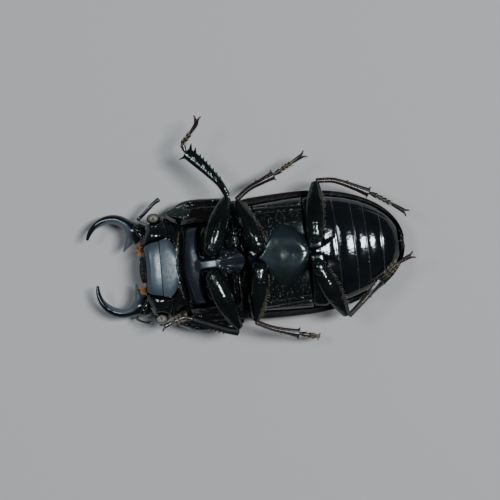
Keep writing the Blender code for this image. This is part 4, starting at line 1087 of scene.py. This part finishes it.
def jaw(name):
    """A jaw in its own frame, blade and tooth grown together."""
    cx, cy = JAW_ARC_CENTRE
    knots = []
    for degrees, inner, high in JAW_ARC:
        a = math.radians(degrees)
        middle = 0.5 * (JAW_ARC_RADIUS + inner)
        half = 0.5 * (JAW_ARC_RADIUS - inner)
        knots.append((cx + middle * math.cos(a), cy + middle * math.sin(a), -0.15, half, high))
    shape = bmesh.new()
    sweep_shape(shape, knots + JAW_ROOT, 120, 48, 0.02, 0.35)
    sweep_shape(shape, JAW_TOOTH, 40, 32, 0.02, 0.04)
    piece = finished(shape, name)
    remesh = piece.modifiers.new("grown together", "REMESH")
    remesh.mode = "VOXEL"
    remesh.voxel_size = JAW_GRAIN * MM
    remesh.use_smooth_shade = True
    smooth = piece.modifiers.new("worn", "SMOOTH")
    smooth.factor = 0.5
    smooth.iterations = 3
    return piece


def plain(piece):
    """The piece with its modifiers made into its mesh."""
    scene_state = bpy.context.evaluated_depsgraph_get()
    mesh = bpy.data.meshes.new_from_object(piece.evaluated_get(scene_state))
    piece.modifiers.clear()
    piece.data = mesh
    return piece


def inner_side(x, y, z):
    """1 where the hollow side of the blade and the tooth are satin and painted pale steel-blue as a
    highlight, fading out towards the tip and the root; 0 on the outer side.
    """
    dx = x - JAW_ARC_CENTRE[0]
    dy = y - JAW_ARC_CENTRE[1]
    inner = stops(JAW_INNER, math.degrees(math.atan2(dy, dx)) % 360)
    across = (math.hypot(dx, dy) - inner) / (JAW_ARC_RADIUS - inner)
    reach = stops([(-5.6, 0.1), (-4.4, 0.3), (-3.0, 0.55), (-2.0, 0.62)], x)
    return (1 - ease(across, reach - 0.28, reach)) * (1 - ease(x, -1.4, -0.6)) * ease(x, -5.45, -4.6)


# The pale steel-blue second colour on the inner side is a painted highlight.
jaw_finish = cuticle("jaw_black", (0.0025, 0.003, 0.0035), (0.006, 0.007, 0.008), 0.1, pit=0.1,
                     pit_depth=0.004, dull="inner", waves=0.02, worn=(0.072, 0.092, 0.112), dull_step=0.22)
for side, way in SIDES.items():
    sickle = plain(jaw("jaw_" + side))
    marked(sickle, "inner", inner_side)
    if side == "right":
        sickle.data.transform(Matrix.Diagonal((1, way, 1, 1)))
        sickle.data.flip_normals()
    sickle.data.transform(JAW_PLACES[side])
    fitted(sickle, jaw_finish, "gloss_cuticle", "mandible_" + side)


# Lips and palps
# The upper lip is a small shield under the mouth, the lower one a strip of red-brown
# leathery skin. Two slim jointed palps stand beside it.
PALP = [(-5.95, 2.95, 4.45), (-6.2, 3.4, 4.4), (-6.5, 3.9, 4.3), (-6.8, 4.35, 4.15)]
PALP_JOINTS = 3
PALP_ROWS = 60


def lip_point(v, s):
    front = -6.75 + 0.12 * s * s
    return front + (-6.4 - front) * v, (1.15 + 0.25 * v) * s, 2.2 + 0.15 * arch(s), 1.45 + 0.2 * s**2


def tongue_point(v, s):
    front = -6.55 + 0.1 * s * s
    return front + (-5.6 - front) * v, 1.3 * s, 4.0 + 0.12 * arch(s) + 0.012 * math.cos(18 * s), 3.4


leather_finish = cuticle("lip_leather", (0.008, 0.0042, 0.0034), (0.02, 0.0095, 0.0065), 0.42, pit=0.1,
                         pit_depth=0.01, grain=0.01, coat=0.0, specular=0.22)
upper_lip = plate("upper_lip", evenly(0, 1, 20), spread(31), lip_point)
fitted(turned(upper_lip), head_finish, "gloss_cuticle", "labrum")
lower_lip = plate("lower_lip", evenly(0, 1, 24), spread(41), tongue_point)
fitted(turned(lower_lip), leather_finish, "lip_leather", "ligula")
for side, way in SIDES.items():
    knots = []
    for n, (x, y, z) in enumerate(through(PALP, PALP_ROWS)):
        joint = n / (PALP_ROWS - 1) * PALP_JOINTS % 1.0
        half = 0.16 + 0.09 * math.sin(math.pi * joint) ** 0.6
        knots.append((x, way * y, z, half, half))
    piece = sweep("palp_" + side + "_joints", knots, PALP_ROWS, 20, 0.12, 0.15)
    fitted(turned(piece), leg_finish, "gloss_cuticle", "palp_" + side)


# Antennae
# Each is a long black first joint, five small brown beads and a brown club of four flat
# leaves. The left club is folded back under its first joint, the right one under the head.
RODS = {
    "left": [(-6.15, 5.3, 3.9), (-5.72, 5.7, 4.06), (-5.2, 6.14, 4.05), (-4.6, 6.62, 3.96),
             (-3.95, 6.98, 3.86)],
    "right": [(-6.1, -5.15, 3.6), (-6.5, -5.1, 3.3), (-7.05, -4.95, 2.7), (-7.55, -4.7, 1.9),
              (-7.8, -4.35, 1.1)],
}
ROD_HALVES = (0.13, 0.12, 0.12, 0.15, 0.24)
CLUBS = {
    "left": [(-3.95, 6.92, 3.4, 0.25, 0.25), (-4.45, 6.68, 3.2, 0.25, 0.25), (-5.0, 6.24, 3.05, 0.25, 0.25),
             (-5.5, 5.84, 2.9, 0.28, 0.45), (-6.05, 5.42, 2.75, 0.26, 0.4)],
    "right": [(-7.45, -3.75, 0.75, 0.25, 0.25), (-7.0, -3.4, 0.65, 0.25, 0.25),
              (-6.4, -3.15, 0.6, 0.25, 0.25), (-5.8, -3.0, 0.58, 0.42, 0.3), (-5.1, -2.9, 0.56, 0.38, 0.28)],
}
CLUB_ROWS = 91
CLUB_SLIMNESS = 0.62
feeler_finish = cuticle("feeler_black", (0.004, 0.0045, 0.005), (0.012, 0.014, 0.016), 0.3, pit=0.1, coat=0.6,
                        specular=0.9)
for side in SIDES:
    shape = bmesh.new()
    rod = [(*place, half, half) for place, half in zip(RODS[side], ROD_HALVES)]
    sweep_shape(shape, rod, 44, 24, 0.1, 0.16)
    bead = [(*RODS[side][0], 0.2, 0.2), (*through(RODS[side], 30)[3], 0.16, 0.16)]
    sweep_shape(shape, bead, 8, 24, 0.16, 0.1)
    piece = finished(shape, "antenna_" + side + "_rod")
    fitted(piece, feeler_finish, "gloss_cuticle", "antenna_scape_" + side)
    knots = []
    for n, (x, y, z, wide, high) in enumerate(through(CLUBS[side], CLUB_ROWS)):
        t = n / (CLUB_ROWS - 1)
        joint = t * 2 * 5 % 1.0 if t < 0.5 else (t - 0.5) * 2 * 4 % 1.0
        slim = CLUB_SLIMNESS * (0.72 + 0.28 * math.sin(math.pi * joint) ** 0.5)
        knots.append((x, y, z, wide * slim, high * slim))
    club = sweep("antenna_" + side + "_leaves", knots, CLUB_ROWS, 24, 0.1, 0.15)
    fitted(club, brown_finish, "brown_cuticle", "antenna_club_" + side)


# Mouth brushes
# Two tufts of stiff orange bristles on the inner lobes of the under jaws, which lap up
# sap. Each bristle tapers from its root and leans outwards.
BRISTLE_RINGS = 5
BRISTLE_SIDES = 4
BRISTLE_TIP = 0.12
UNWRAP_SIZE = 40.0
UNWRAP_CORNER = (-14.0, -16.0)
PATCH = 0.003


def bristle_tree():
    """Puts one bent, tapering bristle on each point, along its way and as long as it says."""
    tree = bpy.data.node_groups.new("bristles", "GeometryNodeTree")
    for name, kind in (("Roots", "Geometry"), ("Root half width", "Float"), ("Bend", "Float"),
                       ("Scatter", "Float"), ("Seed", "Int"), ("Finish", "Material")):
        tree.interface.new_socket(name=name, in_out="INPUT", socket_type="NodeSocket" + kind)
    tree.interface.new_socket(name="Bristles", in_out="OUTPUT", socket_type="NodeSocketGeometry")
    given = add(tree, "NodeGroupInput").outputs
    points = add(tree, "GeometryNodeMeshToPoints", Mesh=given["Roots"])
    stem = add(tree, "GeometryNodeCurvePrimitiveLine", End=(0.0, 0.0, 1.0))
    steps = add(tree, "GeometryNodeResampleCurve", Curve=stem, Count=BRISTLE_RINGS)
    share = add(tree, "GeometryNodeSplineParameter")
    lean = maths(tree, "MULTIPLY", maths(tree, "POWER", share, 2.0), given["Bend"])
    aside = add(tree, "ShaderNodeCombineXYZ", X=lean)
    bent = add(tree, "GeometryNodeSetPosition", Geometry=steps, Offset=aside)
    taper = add(tree, "ShaderNodeMapRange", Value=share, To_Min=1.0, To_Max=BRISTLE_TIP)
    thin = add(tree, "GeometryNodeSetCurveRadius", Curve=bent, Radius=taper)
    section = add(tree, "GeometryNodeCurvePrimitiveCircle", Resolution=BRISTLE_SIDES,
                  Radius=given["Root half width"])
    solid = add(tree, "GeometryNodeCurveToMesh", Curve=thin, Profile_Curve=section, Fill_Caps=True)

    way = add(tree, "GeometryNodeInputNamedAttribute", data_type="FLOAT_VECTOR", Name="way")
    jitter = add(tree, "FunctionNodeRandomValue", data_type="FLOAT_VECTOR", Seed=given["Seed"])
    centred = add(tree, "ShaderNodeVectorMath", operation="SUBTRACT", at_0=jitter, at_1=(0.5, 0.5, 0.5))
    scatter = add(tree, "ShaderNodeVectorMath", operation="SCALE", Vector=centred, Scale=given["Scatter"])
    ways = add(tree, "ShaderNodeVectorMath", operation="ADD", at_0=way, at_1=scatter)
    turn = add(tree, "FunctionNodeAlignRotationToVector", axis="Z", Vector=ways)
    size = add(tree, "GeometryNodeInputNamedAttribute", data_type="FLOAT", Name="long")
    tall = add(tree, "FunctionNodeRandomValue", data_type="FLOAT", Seed=given["Seed"], at_2=0.7, at_3=1.1)
    length = maths(tree, "MULTIPLY", size, tall.outputs[1])
    scale = add(tree, "ShaderNodeCombineXYZ", X=1.0, Y=1.0, Z=length)
    placed = add(tree, "GeometryNodeInstanceOnPoints", Points=points, Instance=solid, Rotation=turn,
                 Scale=scale)
    real = add(tree, "GeometryNodeRealizeInstances", Geometry=placed)
    coloured = add(tree, "GeometryNodeSetMaterial", Geometry=real, Material=given["Finish"])
    add(tree, "NodeGroupOutput", Bristles=coloured)
    return tree


BRISTLES = bristle_tree()


def bristles(name, roots, finish, half_width, bend=0.0001, scatter=0.4, seed=1):
    """A coat from roots of place, way and length in millimetres, with its own map for baking."""
    mesh = bpy.data.meshes.new(name)
    mesh.from_pydata([tuple(Vector(at) * MM) for at, _, _ in roots], [], [])
    ways = mesh.attributes.new("way", "FLOAT_VECTOR", "POINT")
    ways.data.foreach_set("vector", [part for _, way, _ in roots for part in Vector(way).normalized()])
    lengths = mesh.attributes.new("long", "FLOAT", "POINT")
    lengths.data.foreach_set("value", [length * MM for _, _, length in roots])
    piece = bpy.data.objects.new(name, mesh)
    bpy.context.collection.objects.link(piece)
    grown = piece.modifiers.new("bristles", "NODES")
    grown.node_group = BRISTLES
    values = {"Root half width": half_width * MM, "Bend": bend, "Scatter": scatter, "Seed": seed,
              "Finish": finish}
    for socket in BRISTLES.interface.items_tree:
        if socket.in_out == "INPUT" and socket.name in values:
            grown[socket.identifier] = values[socket.name]
    plain(piece)
    piece.data.shade_smooth()
    chart = piece.data.uv_layers.new(name="OFBake")
    each = BRISTLE_RINGS * BRISTLE_SIDES
    for loop in piece.data.loops:
        root = roots[loop.vertex_index // each][0]
        ring, corner = divmod(loop.vertex_index % each, BRISTLE_SIDES)
        u = (root[0] - UNWRAP_CORNER[0]) / UNWRAP_SIZE + PATCH * (corner / BRISTLE_SIDES - 0.4)
        v = (root[1] - UNWRAP_CORNER[1]) / UNWRAP_SIZE + PATCH * (ring / BRISTLE_RINGS - 0.4)
        chart.data[loop.index].uv = (u, v)
    return piece


def bristle_finish(name, root, tip):
    """Stiff hair: two warm colours in fine streaks, with a soft gloss."""
    finish, tree, shader = new_finish(name)
    place = add(tree, "ShaderNodeTexCoord").outputs["Object"]
    streaks = add(tree, "ShaderNodeTexNoise", Vector=place, Scale=2600.0, Detail=3.0)
    colour = two_colours(tree, streaks, root, tip, 0.35, 0.65)
    feed(tree, shader, Base_Color=colour, Roughness=0.45, Sheen_Weight=0.15)
    return finish


orange_finish = bristle_finish("brush_orange", (0.30, 0.08, 0.012), (0.80, 0.32, 0.05))
chance = random.Random(7)
for side, way in SIDES.items():
    stub = [(-5.95, way * 1.98, 3.75, 0.26, 0.28), (-6.35, way * 2.0, 3.78, 0.2, 0.22)]
    tuft_root = turned(sweep("brush_stub_" + side, stub, 10, 20, 0.1, 0.08))
    fitted(tuft_root, leather_finish, "lip_leather", "mouth_brush_" + side)
    roots = []
    for n in range(72):
        fan = chance.uniform(-1, 1)
        lift = chance.uniform(-1, 1)
        x = -6.25 + 0.2 * chance.uniform(-1, 1)
        roots.append(((x, way * (2.0 + 0.12 * fan), 3.8 + 0.12 * lift),
                      (chance.uniform(-1, 0.3), fan, 0.5 * lift + 0.3), chance.uniform(0.4, 0.85)))
    coat = bristles("brush_bristles_" + side, roots, orange_finish, 0.021, bend=0.00008, seed=11 + way)
    fitted(turned(coat), orange_finish, "mouth_brush")


# Golden hairs
# Rows of stiff golden hairs on the rear edges of the middle and hind thighs, on the shins
# and round the ends of the foot joints, and a close fringe along the rear of the head.
HAIRS_ROUND = 14
HAIR_SUNK = 0.03
gold_finish = bristle_finish("hair_gold", (0.20, 0.15, 0.08), (0.52, 0.42, 0.25))
roots = []
SLIM_LEGS = [leg for leg in SHINS if not leg.startswith("front")]
for leg in SLIM_LEGS:
    rows = through(FEMURS[leg], 120)
    for n in range(14, 104, 4):
        at, along, out = limb_at(rows, n)
        out *= 1 if out.x > 0 else -1
        at += out * (rows[n][3] - HAIR_SUNK) - UP * 0.05
        roots.append((at, out + along * 0.9 + UP * 0.15, 0.3))
for leg in SLIM_LEGS:
    rows = through(shin_knots(leg), 80)
    for n in range(18, 76, 3):
        at, along, out = limb_at(rows, n)
        for way in (1, -1):
            roots.append((at + out * way * (rows[n][3] - HAIR_SUNK), out * way + along * 1.1, 0.26))
for leg in FEET:
    rows = foot_rows(foot_points(leg))
    for joint in FOOT_JOINTS[1:5]:
        n = round(joint * (FOOT_ROWS - 1)) - 1
        at, along, out = limb_at(rows, n)
        over = out.cross(along)
        for k in range(HAIRS_ROUND):
            a = math.tau * k / HAIRS_ROUND
            way = out * math.cos(a) + over * math.sin(a)
            roots.append((at + way * (rows[n][3] - HAIR_SUNK), way * 0.7 + along, 0.34))
leg_hair = bristles("leg_hairs", roots, gold_finish, 0.013, bend=0.00005, scatter=0.9, seed=3)
fitted(leg_hair, gold_finish, "mouth_brush")

roots = []
for y in evenly(-4.3, 4.3, 70):
    x = head_rear_x(y) - 0.04
    s = min(max(y / HEAD_WIDTHS[-1][1], -0.999), 0.999)
    z = head_top(x, y, s) if abs(y) > 1.6 else 5.8
    roots.append(((x, y, z - 0.05), (0.6, 0.1 * math.copysign(1, y), 0.75), 0.12))
fringe = bristles("neck_fringe", roots, gold_finish, 0.02, bend=0.00003, scatter=0.3, seed=5)
fitted(turned(fringe), gold_finish, "mouth_brush")


# Belly dots
# Very short golden bristles that catch the light as dots. They stand at random over
# the dull parts of the belly plates.
def belly_roots(chance, count):
    roots = []
    while len(roots) < count:
        x = chance.uniform(1.4, 10.0)
        y = chance.uniform(-5.2, 5.2)
        if x < PRONOTUM_REAR_X:
            if abs(y) > 3.6 or abs(y) < 0.9:
                continue
            v = (x - neck_x(y)) / (PRONOTUM_REAR_X - neck_x(y))
            z = front_belly_height(v, y / PROSTERNUM_HALF_WIDTH, x, y)
        else:
            if abs(y) > core_side(x) - 0.2 or shield_edge(x, y) > -0.3 or 3.1 < x < 3.5:
                continue
            z = belly_height(x, y) + middle_relief(x, y)
        roots.append(((x, y, z - 0.02), (0.5, chance.uniform(-0.3, 0.3), 0.6), 0.11))
    return roots


dot_finish = bristle_finish("dot_gold", (0.10, 0.07, 0.04), (0.28, 0.21, 0.12))
dots = bristles("belly_bristles", belly_roots(random.Random(21), 230), dot_finish, 0.009, scatter=0.5, seed=9)
fitted(dots, dot_finish, "mouth_brush")


# Studio
# A plain pale floor under a soft lamp towards the tail, a weak soft lamp at the head and a
# dim sky. The camera looks straight down, as the photograph was taken.
FLOOR_SIZE = 900.0
FLOOR_DROP = 0.02
AIM = Vector((0.005, 0.0, 0.004))
CAMERA_AT = (0.00454, 0.0009, 0.1814)
CAMERA_TURN = math.radians(-7.0)
VIEW_ANGLE = math.radians(16.0)

shape = bmesh.new()
bmesh.ops.create_grid(shape, x_segments=1, y_segments=1, size=FLOOR_SIZE)
floor = finished(shape, "floor")
floor.data.transform(Matrix.Translation((0, 0, -FLOOR_DROP * MM)))
pale, tree, shader = new_finish("floor_pale")
feed(tree, shader, Base_Color=(0.46, 0.45, 0.44, 1.0), Roughness=0.8)
floor.data.materials.append(pale)
floor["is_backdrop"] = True


def softbox(name, at, size, longer, power, colour):
    """An oval lamp that faces the beetle."""
    light = bpy.data.lights.new(name, "AREA")
    light.shape = "ELLIPSE"
    light.size = size
    light.size_y = size * longer
    light.energy = power
    light.color = colour
    lamp = bpy.data.objects.new(name, light)
    bpy.context.collection.objects.link(lamp)
    lamp.location = at
    lamp.rotation_euler = (AIM - Vector(at)).to_track_quat("-Z", "Y").to_euler()


softbox("key_tail", (0.15, 0.02, 0.39), 0.07, 2.2, 1.55, (0.90, 0.95, 1.0))
softbox("key_head", (-0.15, 0.08, 0.38), 0.10, 1.0, 0.40, (0.85, 0.93, 1.0))
world = bpy.data.worlds.new("studio")
bpy.context.scene.world = world
world.use_nodes = True
feed(world.node_tree, world.node_tree.nodes["Background"], Color=(0.62, 0.68, 0.76, 1.0), Strength=0.10)

lens = bpy.data.cameras.new("camera")
lens.sensor_width = 36.0
lens.angle = VIEW_ANGLE
lens.clip_start = 0.01
camera = bpy.data.objects.new("camera", lens)
bpy.context.collection.objects.link(camera)
camera.location = CAMERA_AT
camera.rotation_euler = (0.0, 0.0, CAMERA_TURN)
bpy.context.scene.camera = camera

low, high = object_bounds()
